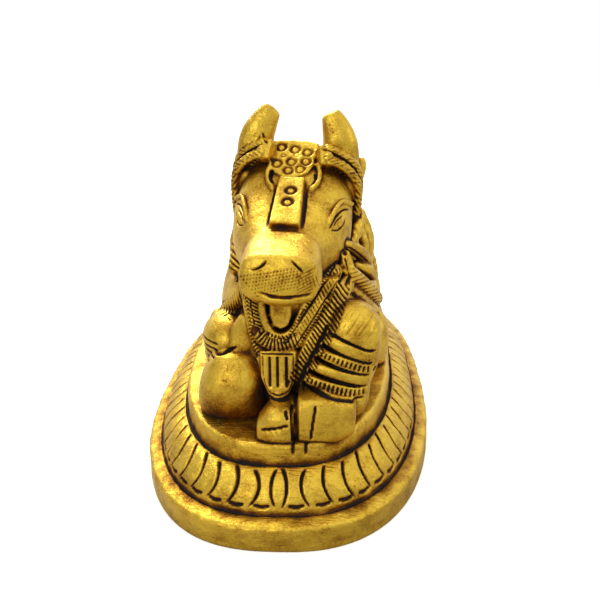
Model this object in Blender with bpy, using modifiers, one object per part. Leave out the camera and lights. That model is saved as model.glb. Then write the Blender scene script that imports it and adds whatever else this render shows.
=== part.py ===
"""A small brass nandi: the recumbent bull, dressed for worship, cast in one with its oval plinth."""

import math

import bmesh
import bpy
from mathutils import Matrix, Vector

# Plinth, in metres. Its front faces -Y and it stands on Z = 0.
BASE_LENGTH = 0.081
BASE_WIDTH = 0.044
OVAL_SQUARENESS = 2.54
WALL_HEIGHT = 0.0035
EDGE_ROUND = 0.0006
FLANGE_WIDTH = 0.0020
FLANGE_RISE = 0.0003
PETAL_BAND_WIDTH = 0.0038
PETAL_BAND_HEIGHT = 0.0043
PLATFORM_HEIGHT = 0.0027
PLATFORM_ROUND = 0.0007
STEP_GROOVE = 0.0002
OVAL_POINTS = 64
PETAL_ARC = math.radians(80)

# Chased strokes that part the lotus petals, in metres.
PETAL_PITCH = 0.00278
STROKE_WIDTH = 0.0008
STROKE_DEPTH = 0.0006
STROKE_BOW = 0.0009

# The bull, in metres. Its forms are drawn in units of which it stands 38.7 high from hoof to horn tip.
FIGURE_HEIGHT = 0.0387
FIGURE_UNITS = 38.7
HOOF_SETBACK = 0.0003
HOOF_TIP = 34.4
FIGURE_SINK = 1.2
CAST_GRAIN = 0.30
FIGURE_TRIANGLES = 6000

BRASS_COLOUR = (0.62, 0.43, 0.10, 1.0)
BRASS_ROUGHNESS = 0.32

PETAL_FOOT = WALL_HEIGHT + FLANGE_RISE
PETAL_HEAD = PETAL_FOOT + PETAL_BAND_HEIGHT
PLATFORM_TOP = PETAL_HEAD + PLATFORM_HEIGHT
PLATFORM_INSET = FLANGE_WIDTH + PETAL_BAND_WIDTH


def clear_scene():
    for thing in list(bpy.data.objects):
        bpy.data.objects.remove(thing, do_unlink=True)


def new_collection(name):
    collection = bpy.data.collections.new(name)
    bpy.context.scene.collection.children.link(collection)
    return collection


def object_from(bm, name, collection):
    bmesh.ops.recalc_face_normals(bm, faces=bm.faces)
    mesh = bpy.data.meshes.new(name)
    bm.to_mesh(mesh)
    bm.free()
    made = bpy.data.objects.new(name, mesh)
    collection.objects.link(made)
    return made


def helper(made):
    made.hide_render = True
    made.display_type = "WIRE"
    return made


def power(value, exponent):
    return math.copysign(abs(value) ** exponent, value)


# Plinth


def oval(angle, inset, height):
    """A point of the plinth's squared oval, drawn in by an inset, at a height."""
    x = (BASE_WIDTH / 2 - inset) * power(math.cos(angle), 2 / OVAL_SQUARENESS)
    y = (BASE_LENGTH / 2 - inset) * power(math.sin(angle), 2 / OVAL_SQUARENESS)
    return Vector((x, y, height))


def even_angles(count, inset):
    """Angles of points that lie evenly along the oval, the first at its front."""
    fine = 1440
    turns = [2 * math.pi * i / fine - math.pi / 2 for i in range(fine + 1)]
    points = [oval(turn, inset, 0) for turn in turns]
    travelled = [0.0]
    for before, after in zip(points, points[1:]):
        travelled.append(travelled[-1] + (after - before).length)
    angles = []
    step = 0
    for k in range(count):
        target = travelled[-1] * k / count
        while travelled[step + 1] < target:
            step += 1
        angles.append(turns[step])
    return angles, travelled[-1]


def petal_band(rise):
    """Inset and height on the petals' convex slope, from 0 at its foot to 1 at its head."""
    turn = rise * PETAL_ARC
    across = (1 - math.cos(turn)) / (1 - math.cos(PETAL_ARC))
    up = math.sin(turn) / math.sin(PETAL_ARC)
    return FLANGE_WIDTH + PETAL_BAND_WIDTH * across, PETAL_FOOT + PETAL_BAND_HEIGHT * up


def plinth_profile():
    """Inset and height of each ring, from the underside up to the platform."""
    rings = [(0, 0), (0, WALL_HEIGHT - EDGE_ROUND)]
    rings.append((EDGE_ROUND * 0.3, WALL_HEIGHT - EDGE_ROUND * 0.3))
    rings.append((EDGE_ROUND, WALL_HEIGHT))
    rings.append((FLANGE_WIDTH - STEP_GROOVE, PETAL_FOOT))
    rings.append((FLANGE_WIDTH, PETAL_FOOT - STEP_GROOVE))
    rings += [petal_band(rise) for rise in (0.25, 0.6)]
    rings.append((PLATFORM_INSET, PETAL_HEAD - STEP_GROOVE))
    rings.append((PLATFORM_INSET + STEP_GROOVE, PLATFORM_TOP - PLATFORM_ROUND))
    rings.append((PLATFORM_INSET + PLATFORM_ROUND * 0.4, PLATFORM_TOP - PLATFORM_ROUND * 0.25))
    rings.append((PLATFORM_INSET + PLATFORM_ROUND, PLATFORM_TOP))
    return rings


def make_plinth(collection):
    bm = bmesh.new()
    angles, _ = even_angles(OVAL_POINTS, 0)
    below = None
    for inset, height in plinth_profile():
        ring = [bm.verts.new(oval(angle, inset, height)) for angle in angles]
        if below is None:
            bm.faces.new(ring)
        else:
            for k in range(OVAL_POINTS):
                bm.faces.new((below[k - 1], below[k], ring[k], ring[k - 1]))
        below = ring
    bm.faces.new(below)
    return object_from(bm, "nandi_idol", collection)


def make_strokes(collection):
    """One three-sided sliver for each stroke, laid along the petals' slope."""
    middle_inset, _ = petal_band(0.5)
    _, girth = even_angles(1, middle_inset)
    count = 2 * round(girth / PETAL_PITCH / 2)
    angles, _ = even_angles(count, middle_inset)
    half_turn = math.pi * STROKE_WIDTH / girth
    bow_turn = 2 * math.pi * STROKE_BOW / girth
    bm = bmesh.new()
    for k, angle in enumerate(angles):
        angle += math.pi / count
        side = 1 if k < count / 2 else -1
        last = None
        for rise, strength in ((0.18, 0.15), (0.55, 0.9), (0.96, 0.85)):
            centre = angle - side * bow_turn * math.sin(math.pi * rise)
            inset, height = petal_band(rise)
            lift = STROKE_DEPTH * 0.8
            spread = half_turn * (0.35 + 0.9 * strength)
            left = bm.verts.new(oval(centre - spread, inset - lift * 0.7, height + lift))
            right = bm.verts.new(oval(centre + spread, inset - lift * 0.7, height + lift))
            sunk = STROKE_DEPTH * strength
            apex = bm.verts.new(oval(centre, inset + sunk * 0.7, height - sunk * 0.7))
            ring = (left, right, apex)
            if last is None:
                bm.faces.new(ring)
            else:
                for i in range(3):
                    bm.faces.new((last[i - 1], last[i], ring[i], ring[i - 1]))
            last = ring
        bm.faces.new(last)
    return helper(object_from(bm, "petal_strokes", collection))


# Forms of the figure. A station is x, y, z, half-width and half-height in the figure's units.


def smooth_stations(stations, steps):
    """Catmull-Rom points through the stations, sizes with them."""
    if steps == 1 or len(stations) < 3:
        return [list(station) for station in stations]
    ends = [stations[0], *stations, stations[-1]]
    smooth = []
    for i in range(1, len(ends) - 2):
        a, b, c, d = ends[i - 1 : i + 3]
        for k in range(steps):
            t = k / steps
            row = []
            for p, q, r, s in zip(a, b, c, d):
                bend = (2 * p - 5 * q + 4 * r - s) * t * t + (3 * q - p - 3 * r + s) * t**3
                row.append(0.5 * (2 * q + (r - p) * t + bend))
            smooth.append(row)
    smooth.append(list(stations[-1]))
    return smooth


def rounded_ends(rows, cap):
    """Centre, half-width and half-height of each ring, with shrinking rings that dome both ends."""
    places = [(Vector(row[:3]), row[3], row[4]) for row in rows]
    if cap == 0:
        return places
    start, start_wide, start_high = places[0]
    end, end_wide, end_high = places[-1]
    backward = (start - places[1][0]).normalized()
    forward = (end - places[-2][0]).normalized()
    for turn in (35, 62, 80):
        grow = math.sin(math.radians(turn)) * cap
        shrink = math.cos(math.radians(turn))
        places.insert(0, (start + backward * grow, start_wide * shrink, start_high * shrink))
        places.append((end + forward * grow, end_wide * shrink, end_high * shrink))
    return places


def sweep(bm, stations, up=(0, 0, 1), across=None, squareness=2.0, sides=14, steps=3, cap=None):
    """Rings through the stations, joined and capped. They stand square to the path, or to across."""
    if cap is None:
        cap = (stations[0][3] + stations[0][4]) / 2
    places = rounded_ends(smooth_stations(stations, steps), cap)
    rings = []
    for i, (centre, wide, high) in enumerate(places):
        along = places[min(i + 1, len(places) - 1)][0] - places[max(i - 1, 0)][0]
        normal = Vector(across) if across else along.normalized()
        side = normal.cross(Vector(up)).normalized()
        top = side.cross(normal)
        made = bmesh.ops.create_circle(bm, segments=sides, radius=1)["verts"]
        for vert in made:
            u = power(vert.co.x, 2 / squareness) * wide
            v = power(vert.co.y, 2 / squareness) * high
            vert.co = centre + side * u + top * v
        rings.append(made)
    for below, above in zip(rings, rings[1:]):
        for k in range(sides):
            bm.faces.new((below[k - 1], below[k], above[k], above[k - 1]))
    bm.faces.new(rings[0])
    bm.faces.new(rings[-1])


def ball(bm, centre, radii, turn=(0, 0, 0), fineness=14):
    """An ellipsoid, turned by degrees about X, Y and Z."""
    place = Matrix.Translation(centre)
    for axis, degrees in zip("XYZ", turn):
        place = place @ Matrix.Rotation(math.radians(degrees), 4, axis)
    place = place @ Matrix.Diagonal((*radii, 1))
    bmesh.ops.create_uvsphere(bm, u_segments=fineness, v_segments=fineness - 4, radius=1, matrix=place)


def cord(bm, points, radius, up=(0, 0, 1), flat=1.0, steps=3, sides=8):
    """A round or flattened cord through points."""
    stations = [(*point, radius, radius * flat) for point in points]
    sweep(bm, stations, up=up, sides=sides, steps=steps, cap=radius)


def plate(bm, outline, thickness, place, edge=0.15):
    """A flat plate with softened edges: an outline in its own plane, thickened towards its back."""
    made = [bm.verts.new(place @ Vector((u, v, 0))) for u, v in outline]
    face = bm.faces.new(made)
    grown = bmesh.ops.extrude_face_region(bm, geom=[face])["geom"]
    back = [item for item in grown if isinstance(item, bmesh.types.BMVert)]
    depth = place.to_3x3() @ Vector((0, 0, -thickness))
    bmesh.ops.translate(bm, verts=back, vec=depth)
    rim = [edge_ for edge_ in face.edges]
    bmesh.ops.bevel(bm, geom=rim, offset=edge, affect="EDGES", segments=2, profile=0.5, material=-1)


def facing(origin, outward, up):
    """A plane's placement: its Z points outward and its Y as near up as it can."""
    z = Vector(outward).normalized()
    x = Vector(up).cross(z).normalized()
    y = z.cross(x)
    return Matrix.Translation(origin) @ Matrix((x, y, z)).transposed().to_4x4()


# The bull. X is its left, -Y its front, Z = 0 the platform.

HEAD_ORIGIN = Vector((2.0, -12.0, 33.2))
HEAD_TURN = -3.5
HEAD_ROLL = 2.5
BROW_SLOPE = 42
NOSE_SLOPE = 31


def head_place():
    turn = Matrix.Rotation(math.radians(HEAD_TURN), 4, "Z")
    roll = Matrix.Rotation(math.radians(HEAD_ROLL), 4, "Y")
    return Matrix.Translation(HEAD_ORIGIN) @ turn @ roll


def add_trunk(bm):
    body = [
        (0.6, -25.5, 6.5, 5.0, 8.0),
        (0.9, -21, 8.0, 8.2, 9.5),
        (1.3, -15, 9.5, 10.8, 11.5),
        (1.6, -7, 10.0, 12.0, 12.5),
        (1.6, 2, 9.0, 12.3, 11.5),
        (1.4, 11, 8.2, 12.2, 10.8),
        (1.1, 20, 7.6, 11.8, 10.2),
        (0.8, 27, 6.6, 9.6, 8.6),
        (0.6, 31, 5.6, 6.0, 6.0),
    ]
    sweep(bm, body, across=(0, -1, 0), sides=24, cap=2.5)
    ball(bm, (1.8, -5.5, 16.8), (10.9, 8.2, 10.4), fineness=18)
    neck = [
        (1.0, -16.0, 1.0, 8.0, 10.8),
        (1.2, -16.2, 8.0, 7.8, 10.4),
        (1.6, -15.4, 14.0, 7.2, 9.6),
        (1.9, -13.0, 20.0, 7.0, 9.4),
        (2.0, -11.0, 26.0, 6.6, 8.4),
    ]
    sweep(bm, neck, up=(0, -1, 0), across=(0, 0, 1), sides=18, cap=1.5)


def add_head(bm):
    skull = [
        (0, 3.4, -7.0, 6.0, 6.2),
        (0, 0.5, -7.9, 7.6, 7.6),
        (0, -3.0, -9.3, 8.0, 7.1),
        (0, -6.0, -10.7, 7.9, 6.0),
        (0, -9.0, -11.9, 7.0, 5.1),
        (0, -11.5, -12.5, 5.6, 4.2),
        (0.1, -13.2, -12.6, 4.8, 3.7),
        (0.2, -15.0, -12.7, 4.8, 3.4),
        (0.4, -17.5, -13.0, 4.9, 3.2),
        (0.4, -19.2, -13.2, 4.7, 2.9),
    ]
    sweep(bm, skull, across=(0, -1, 0), squareness=2.5, sides=24, cap=1.3)
    muzzle = [(0.2, -13.4, -12.5, 4.7, 3.7), (0.3, -16.4, -12.8, 4.8, 3.4), (0.4, -19.3, -13.1, 4.6, 3.0)]
    sweep(bm, muzzle, across=(0, -1, 0), squareness=3.2, sides=20, cap=0.9)
    ball(bm, (0.6, -17.4, -15.2), (3.4, 3.2, 1.5))
    for side in (-1, 1):
        add_eye(bm, side)
        ball(bm, (0.05 + side * 8.4, 1.9, -3.6), (0.9, 0.9, 2.2), turn=(0, side * 12, 0))


def add_eye(bm, side):
    brow = [(5.3, -9.6, -8.6), (5.9, -8.0, -7.1), (6.7, -5.9, -6.2), (7.9, -4.2, -6.9)]
    cord(bm, [(side * x, y, z) for x, y, z in brow], 0.36)
    ball(bm, (side * 6.2, -7.0, -8.5), (0.9, 1.9, 1.1), turn=(BROW_SLOPE, 0, side * 24))


def add_horn(bm, base, tip, bend, wide):
    middle = (Vector(base) + Vector(tip)) / 2 + Vector((bend, -0.6, 0.2))
    stations = [
        (*base, wide, 2.5),
        (*middle, wide * 0.86, 2.0),
        (*(middle.lerp(Vector(tip), 0.62) + Vector((bend * 0.25, 0, 0))), wide * 0.68, 1.5),
        (*tip, wide * 0.48, 0.95),
    ]
    sweep(bm, stations, up=(0, -1, 0), squareness=2.4, sides=14, cap=0.5)


def add_halter(bm):
    """Twin twisted ropes from the brow plaque round the head, each tied in at the plaque by a tab."""
    for side in (-1, 1):
        drop = 0.25 * side
        for lift, reach in ((0.0, 0.0), (1.2, 1.1)):
            route = [
                (side * 4.4, -3.8 + reach, -0.9 + lift - drop),
                (side * 6.6, -3.1 + reach, -2.0 + lift - drop),
                (side * 8.1, -2.1 + reach, -3.6 + lift - drop),
                (side * 8.6, -1.4 + reach, -5.4 + lift - drop),
                (side * 8.6, -1.0 + reach, -7.6 + lift),
                (side * 8.4, -0.7 + reach, -10.0 + lift),
                (side * 7.7, -0.4 + reach, -12.6 + lift),
            ]
            cord(bm, route, 0.7)
            lining = [(x - side * 0.5, y + 1.0, z - 0.1) for x, y, z in route[1:]]
            cord(bm, lining, 1.1)
        tab = [(-0.7, -1.35), (0.7, -1.35), (0.7, 1.35), (-0.7, 1.35)]
        place = facing((side * 4.25, -3.75, -0.35 - drop), (side * 0.3, -0.8, 0.5), (0, 0.5, 0.8))
        plate(bm, tab, 1.8, place, edge=0.25)


def add_brow_plaque(bm):
    brow = math.radians(BROW_SLOPE)
    half = [(0.0, 3.3), (2.0, 3.2), (3.4, 2.8), (3.6, 1.2), (3.0, 0.4), (3.1, -0.8), (2.3, -2.3), (1.0, -3.1)]
    plaque = half + [(0.0, -3.2)] + [(-u, v) for u, v in reversed(half[1:])]
    outward = (0, -math.sin(brow), math.cos(brow))
    up = (0, math.cos(brow), math.sin(brow))
    plate(bm, plaque, 2.4, facing((-0.45, -2.95, -1.35), outward, up), edge=0.3)
    nose = math.radians(NOSE_SLOPE)
    strap = [(-1.75, 4.6), (1.65, 4.6), (1.95, -4.1), (-1.85, -4.1)]
    outward = (0, -math.sin(nose), math.cos(nose))
    up = (0, math.cos(nose), math.sin(nose))
    plate(bm, strap, 2.2, facing((0.0, -9.5, -5.7), outward, up), edge=0.2)
    for side in (-1, 1):
        curl = [(3.1, -3.2, -1.9), (3.6, -4.3, -2.8), (3.4, -5.5, -3.9), (2.4, -6.5, -4.8)]
        cord(bm, [(side * x, y, z) for x, y, z in curl], 0.42)


def add_right_foreleg(bm):
    """Knee forward, its hoof tucked under, and the folds of the upper arm."""
    knee = [
        (-6.2, -24.2, -0.5, 4.9, 4.1),
        (-6.2, -24.6, 2.2, 5.0, 4.8),
        (-6.1, -24.7, 5.4, 4.4, 4.7),
        (-5.9, -24.4, 7.9, 3.2, 3.5),
    ]
    sweep(bm, knee, up=(0, -1, 0), across=(0, 0, 1), squareness=2.5, sides=18, cap=1.0)
    sweep(bm, [(-6.2, -24.0, 3.6, 3.8, 3.8), (-7.4, -17, 5, 3.6, 4.0), (-8.2, -10, 6, 3.2, 4.2)], cap=2.5)
    ball(bm, (-6.8, -20.9, 9.0), (4.2, 4.9, 3.4))
    arm = [(-3.4, -25.0, 12.0, 1.6, 2.2), (-5.0, -24.6, 8.8, 1.8, 2.4), (-4.6, -24.9, 5.0, 2.0, 3.0)]
    sweep(bm, arm, cap=1.0)


def add_left_foreleg(bm):
    """The upper arm upright, and the shank laid across the front with its hoof at the middle."""
    shank = [
        (9.4, -28.9, 2.2, 3.4, 2.5),
        (7.2, -29.5, 2.1, 3.7, 3.2),
        (5.0, -29.9, 2.2, 3.7, 3.3),
        (2.9, -30.1, 2.1, 3.6, 3.4),
    ]
    sweep(bm, shank, across=(-1, 0, 0), squareness=4.5, sides=20, cap=0.5)
    hoof = [
        (2.0, -30.5, 1.3, 3.4, 2.7),
        (0.6, -30.7, 1.4, 3.4, 2.9),
        (-0.8, -31.1, 1.3, 2.9, 2.6),
        (-2.2, -31.9, 0.9, 1.6, 1.7),
    ]
    sweep(bm, hoof, across=(-1, 0, 0), squareness=3.6, sides=16, cap=0.4)
    arm = [
        (8.3, -26.4, 3.0, 3.3, 3.4),
        (8.6, -26.4, 6.0, 3.3, 3.7),
        (9.3, -26.2, 9.0, 3.5, 4.0),
        (9.6, -25.6, 12.2, 3.4, 3.9),
    ]
    sweep(bm, arm, up=(0, -1, 0), squareness=3.0, cap=3.2)
    ball(bm, (9.6, -21.5, 9.4), (3.4, 5.6, 4.6), fineness=16)


def add_arm_bands(bm):
    """Four bands round the left foreleg, dropping towards the outside."""
    for k in range(4):
        high = 6.6 + 1.62 * k
        low = 5.0 + 1.55 * k
        inner = 3.2 + 0.85 * k
        outer = 11.1 + 0.35 * k
        front = -30.4 + 0.25 * k
        route = [
            (inner, front + 2.2, high),
            (inner + 1.0, front + 0.5, high),
            ((inner + outer) / 2, front, (high + low) / 2),
            (outer - 1.2, front + 0.7, low),
            (outer, front + 3.0, low - 0.5),
        ]
        cord(bm, route, 0.72)


def add_chest_dress(bm):
    """The bib of necklaces, the tongue plate under the chin, and the bell."""
    lean = (0, -1, 0.08)
    up = (0, 0, 1)
    bib_left = [(0.0, -6.4), (2.0, -5.8), (4.2, -0.6), (6.2, 4.6), (7.6, 8.6)]
    bib = [(-4.8, 7.6), (-3.8, 1.4), (-2.4, -4.0), *bib_left]
    plate(bm, bib, 4.0, facing((0, -27.4, 10.2), lean, up), edge=0.3)
    ball(bm, (1.4, -23.5, 16.0), (5.4, 4.6, 4.6))
    tongue = [(-1.3, 2.6), (1.5, 2.6), (1.45, -0.6), (1.0, -1.9), (0.1, -2.4), (-0.9, -1.9), (-1.3, -0.6)]
    plate(bm, tongue, 2.5, facing((0.4, -28.6, 15.1), lean, up), edge=0.35)
    half = [(2.3, 2.9), (2.2, -0.6), (1.25, -2.9)]
    bell = half + [(-u, v) for u, v in reversed(half)]
    plate(bm, bell, 3.0, facing((0.1, -29.6, 7.2), (0, -1, 0.15), up), edge=0.35)
    ball(bm, (0.1, -29.9, 3.9), (1.15, 1.2, 0.8))
    plait = [(-3.4, -27.4, 18.4), (-3.0, -27.9, 15.0), (-2.5, -28.2, 12.6), (-1.9, -28.6, 11.2)]
    cord(bm, plait, 0.85, up=(0, -1, 0), flat=0.8)
    ribbed = [(-2.6, -28.0, 12.2), (-1.4, -28.7, 11.3), (0.2, -28.9, 11.0), (2.2, -28.7, 11.3)]
    cord(bm, ribbed, 0.95, up=(0, -1, 0), flat=0.7)
    strap = [(1.7, -28.5, 10.8), (3.5, -28.1, 13.6), (5.5, -26.7, 16.6), (7.6, -24.0, 19.2)]
    cord(bm, strap, 1.15, up=(0, -1, 0), flat=0.7)
    fringe = [(2.4, -28.4, 5.6), (4.2, -28.0, 9.4), (5.9, -27.4, 12.6), (7.8, -25.4, 16.0), (8.6, -23, 18)]
    cord(bm, fringe, 1.5, up=(0, -1, 0), flat=0.5)


def add_harness(bm):
    """Swags down each shoulder, leaves and a drop at the left ear, and folds of cloth over the hump."""
    plait = [(-4, -25, 17), (-5.8, -22, 14.2), (-7.8, -17.8, 11.5), (-9.3, -12, 9), (-10.6, -3, 5.8)]
    cord(bm, plait, 1.1)
    for lower in (2.3, 4.0):
        cord(bm, [(x - 0.2, y + 1.5, z - lower) for x, y, z in plait[1:]], 0.7)
    swag = [(8.8, -21.4, 18.2), (11, -18.2, 15.3), (12.9, -13.6, 12), (13.6, -7, 9), (13.6, 0, 6.6)]
    cord(bm, swag, 0.95)
    for lower in (2.1, 3.8):
        cord(bm, [(x - 0.1, y + 0.3, z - lower) for x, y, z in swag], 0.65)
    leaf = [(8.2, -19.8, 21.4, 0.9, 0.6), (9.9, -17.2, 19.8, 1.5, 0.8), (11.7, -14.0, 17.4, 0.8, 0.6)]
    sweep(bm, leaf, cap=0.6)
    drop = [(8.3, -21.0, 20.4, 0.7, 0.6), (8.7, -21.4, 18.4, 1.0, 0.8), (9.1, -21.2, 16.4, 0.6, 0.5)]
    sweep(bm, drop, up=(0, -1, 0), cap=0.6)
    for k in range(5):
        y = -11.5 + 2.0 * k
        shrink = math.sqrt(1 - ((y + 5.5) / 9.6) ** 2)
        route = []
        for step in range(-4, 5):
            turn = math.radians(step * 26)
            route.append((1.9 + 10.6 * shrink * math.sin(turn), y, 16.6 + 10.6 * shrink * math.cos(turn)))
        cord(bm, route, 0.8, up=(0, 1, 0), steps=2)


def add_hindquarters(bm):
    for side in (-1, 1):
        x = 1.1 + side * 8.2
        ball(bm, (x, 19.5, 7.2), (5.2, 9.4, 8.4), fineness=18)
        ball(bm, (1.1 + side * 11.6, 9.5, 4.4), (2.7, 5.6, 5.2))
        shank = [(11.2, 24, 1.8, 1.9, 1.9), (12.4, 16, 1.6, 1.7, 1.7), (12.9, 9, 1.5, 1.6, 1.6)]
        shank.append((13.0, 4, 1.4, 1.8, 1.6))
        sweep(bm, [(1.1 + side * out, *rest) for out, *rest in shank], cap=1.2)
        ball(bm, (1.2 + side * 12.2, -10.2, 3.6), (2.0, 3.0, 4.9))
    tail = [
        (1.1, 27.5, 14.0, 1.6, 1.6),
        (1.4, 31.4, 11.6, 1.4, 1.4),
        (3.2, 33.0, 8.4, 1.1, 1.1),
        (6.2, 31.4, 5.3, 0.9, 0.9),
        (9.0, 28.0, 3.2, 1.0, 1.0),
        (11.4, 24.6, 1.6, 1.5, 1.2),
    ]
    sweep(bm, tail, cap=0.8)


def add_saddle_cloth(bm):
    cloth = [(1.6, 3, 9.2, 12.5, 12.1), (1.5, 8, 8.7, 12.4, 11.8), (1.4, 13, 8.2, 12.2, 11.3)]
    sweep(bm, cloth, across=(0, -1, 0), sides=24, cap=0)
    for y, wide, high in ((3, 12.5, 12.2), (13.2, 12.1, 10.7)):
        route = []
        for step in range(-4, 5):
            turn = math.radians(step * 24)
            route.append((1.5 + wide * math.sin(turn), y, 8.8 + high * math.cos(turn)))
        cord(bm, route, 0.7, up=(0, 1, 0), steps=2)


def make_figure(collection):
    bm = bmesh.new()
    add_head(bm)
    add_halter(bm)
    add_brow_plaque(bm)
    bmesh.ops.transform(bm, matrix=head_place(), verts=bm.verts)
    add_horn(bm, (-4.2, -10.4, 29.5), (-1.5, -12.3, 38.0), -0.9, 2.8)
    add_horn(bm, (7.8, -10.4, 28.8), (6.5, -12.3, 37.1), 0.6, 2.8)
    add_trunk(bm)
    add_right_foreleg(bm)
    add_left_foreleg(bm)
    add_arm_bands(bm)
    add_chest_dress(bm)
    add_harness(bm)
    add_hindquarters(bm)
    add_saddle_cloth(bm)
    bmesh.ops.bisect_plane(bm, geom=[*bm.verts, *bm.edges, *bm.faces], plane_co=(0, 0, -FIGURE_SINK),
                           plane_no=(0, 0, -1), clear_outer=True)
    open_edges = [edge for edge in bm.edges if edge.is_boundary]
    bmesh.ops.holes_fill(bm, edges=open_edges, sides=0)
    figure = object_from(bm, "bull", collection)
    unit = FIGURE_HEIGHT / FIGURE_UNITS
    front = BASE_LENGTH / 2 - PLATFORM_INSET - HOOF_SETBACK
    place = Matrix.Translation((0, HOOF_TIP * unit - front, PLATFORM_TOP)) @ Matrix.Scale(unit, 4)
    figure.data.transform(place)
    fuse = figure.modifiers.new("fuse forms", "REMESH")
    fuse.mode = "VOXEL"
    fuse.voxel_size = CAST_GRAIN * unit
    fuse.adaptivity = 0
    bpy.context.view_layer.update()
    fused = figure.evaluated_get(bpy.context.evaluated_depsgraph_get())
    faces = sum(len(face.vertices) - 2 for face in fused.data.polygons)
    facet = figure.modifiers.new("facet", "DECIMATE")
    facet.ratio = FIGURE_TRIANGLES / faces
    return helper(figure)


def brass():
    material = bpy.data.materials.new("brass")
    material.use_nodes = True
    shader = material.node_tree.nodes["Principled BSDF"]
    shader.inputs["Base Color"].default_value = BRASS_COLOUR
    shader.inputs["Metallic"].default_value = 1.0
    shader.inputs["Roughness"].default_value = BRASS_ROUGHNESS
    material.diffuse_color = BRASS_COLOUR
    return material


def boolean(made, operation, other):
    modifier = made.modifiers.new(operation.lower() + " " + other.name, "BOOLEAN")
    modifier.operation = operation
    modifier.solver = "EXACT"
    modifier.object = other


clear_scene()
parts = new_collection("nandi_idol")
helpers = new_collection("helpers")
idol = make_plinth(parts)
idol.data.materials.append(brass())
boolean(idol, "DIFFERENCE", make_strokes(helpers))
boolean(idol, "UNION", make_figure(helpers))
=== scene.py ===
"""A small brass nandi on an oval plinth: one antiqued casting, chased and polished by hand."""
import math

import bmesh
import bpy
import numpy as np
from mathutils import Matrix, Vector
from mathutils.bvhtree import BVHTree


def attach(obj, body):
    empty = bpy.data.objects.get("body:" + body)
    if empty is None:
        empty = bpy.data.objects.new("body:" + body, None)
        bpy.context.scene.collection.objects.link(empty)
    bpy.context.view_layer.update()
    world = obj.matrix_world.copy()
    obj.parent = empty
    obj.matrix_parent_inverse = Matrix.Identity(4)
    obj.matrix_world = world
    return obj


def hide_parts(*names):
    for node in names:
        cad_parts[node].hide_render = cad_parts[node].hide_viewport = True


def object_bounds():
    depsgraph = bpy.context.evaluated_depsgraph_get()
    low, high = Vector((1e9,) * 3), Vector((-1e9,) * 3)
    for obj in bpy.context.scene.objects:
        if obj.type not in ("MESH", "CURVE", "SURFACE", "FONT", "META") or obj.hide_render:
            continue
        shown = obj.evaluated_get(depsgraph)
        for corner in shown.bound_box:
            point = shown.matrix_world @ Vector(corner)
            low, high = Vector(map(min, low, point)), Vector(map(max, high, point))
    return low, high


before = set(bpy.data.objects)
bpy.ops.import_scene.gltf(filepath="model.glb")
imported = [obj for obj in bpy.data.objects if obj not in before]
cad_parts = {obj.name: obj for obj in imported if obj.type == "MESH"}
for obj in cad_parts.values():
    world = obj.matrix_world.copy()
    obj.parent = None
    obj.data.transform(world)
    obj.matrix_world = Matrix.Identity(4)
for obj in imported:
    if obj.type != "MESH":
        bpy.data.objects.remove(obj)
cad_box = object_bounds()


# The plinth: a squared oval with a plain flange, a convex band of lotus petals and a raised platform. It is
# the foot of the one brass casting. The petals are parted by chisel strokes, and the flange is hand filed.

# Lengths are in millimetres. The plinth is as long and as wide as the part in the frame.
MM = 0.001
PLINTH_WIDTH = round((cad_box[1][0] - cad_box[0][0]) / MM, 1)
PLINTH_LENGTH = round((cad_box[1][1] - cad_box[0][1]) / MM, 1)
SQUARENESS = 2.54
FOOT_ROUNDING = 0.3
WALL_HEIGHT = 3.5
WALL_ROUNDING = 0.62
FLANGE_WIDTH = 2.0
FLANGE_RISE = 0.26
PETAL_FOOT = 3.8
PETAL_BAND_WIDTH = 3.8
PETAL_HEAD = 8.1
PLATFORM_TOP = 10.8
PLATFORM_INSET = FLANGE_WIDTH + PETAL_BAND_WIDTH
PLATFORM_ROUNDING = 0.7
PLAIN = -1
PLINTH_COLUMNS = 1440
PETAL_PITCH = 2.78
STROKE_BOW = 1.0
STROKE_WIDTH = 0.30
STROKE_DEPTH = 0.50
RIM_NICKS = (2.1, 3.7)
NICK_HALF_WIDTH = 0.28
HAND_WOBBLE = 0.09

# Antiqued brass is golden where it is polished, brown where the patina thins, near black in the recesses.
POLISHED_BRASS = "#EBC344"
WORN_BRASS = "#B98A2A"
PATINA = "#6E3C10"
GRIME = "#170C04"

# Widths of the surface's patterns. Moulding sand leaves grain and pits of about 0.1 mm, and they are drawn
# two to three times as coarse, so that they show.
PATINA_CLOUD = 3.03
HAND_SWELL = 1.43
SAND_GRAIN = 0.3333
SAND_PIT = 0.238
FILE_MARK = (2.222, 0.263, 0.667)
FILE_DIRECTION = 0.6


def linear(hex_colour):
    """A linear colour from an sRGB hex value."""
    channels = [int(hex_colour[i : i + 2], 16) / 255 for i in (1, 3, 5)]
    return (*[c / 12.92 if c <= 0.04045 else ((c + 0.055) / 1.055) ** 2.4 for c in channels], 1.0)


def grey(level):
    """A linear grey, or a plain number where a socket takes one."""
    return (level, level, level, 1)


def add_node(tree, kind, settings=(), links=(), stops=()):
    """A node with its properties and input values set, its inputs linked and its colour stops placed."""
    made = tree.nodes.new(kind)
    for name, value in dict(settings).items():
        if isinstance(name, str) and hasattr(made, name):
            setattr(made, name, value)
        else:
            made.inputs[name].default_value = value
    for name, source in dict(links).items():
        tree.links.new(source, made.inputs[name])
    while stops and len(made.color_ramp.elements) < len(stops):
        made.color_ramp.elements.new(0.5)
    for k, (place, colour) in enumerate(stops):
        made.color_ramp.elements[k].position = place
        made.color_ramp.elements[k].color = colour
    return made


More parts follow.
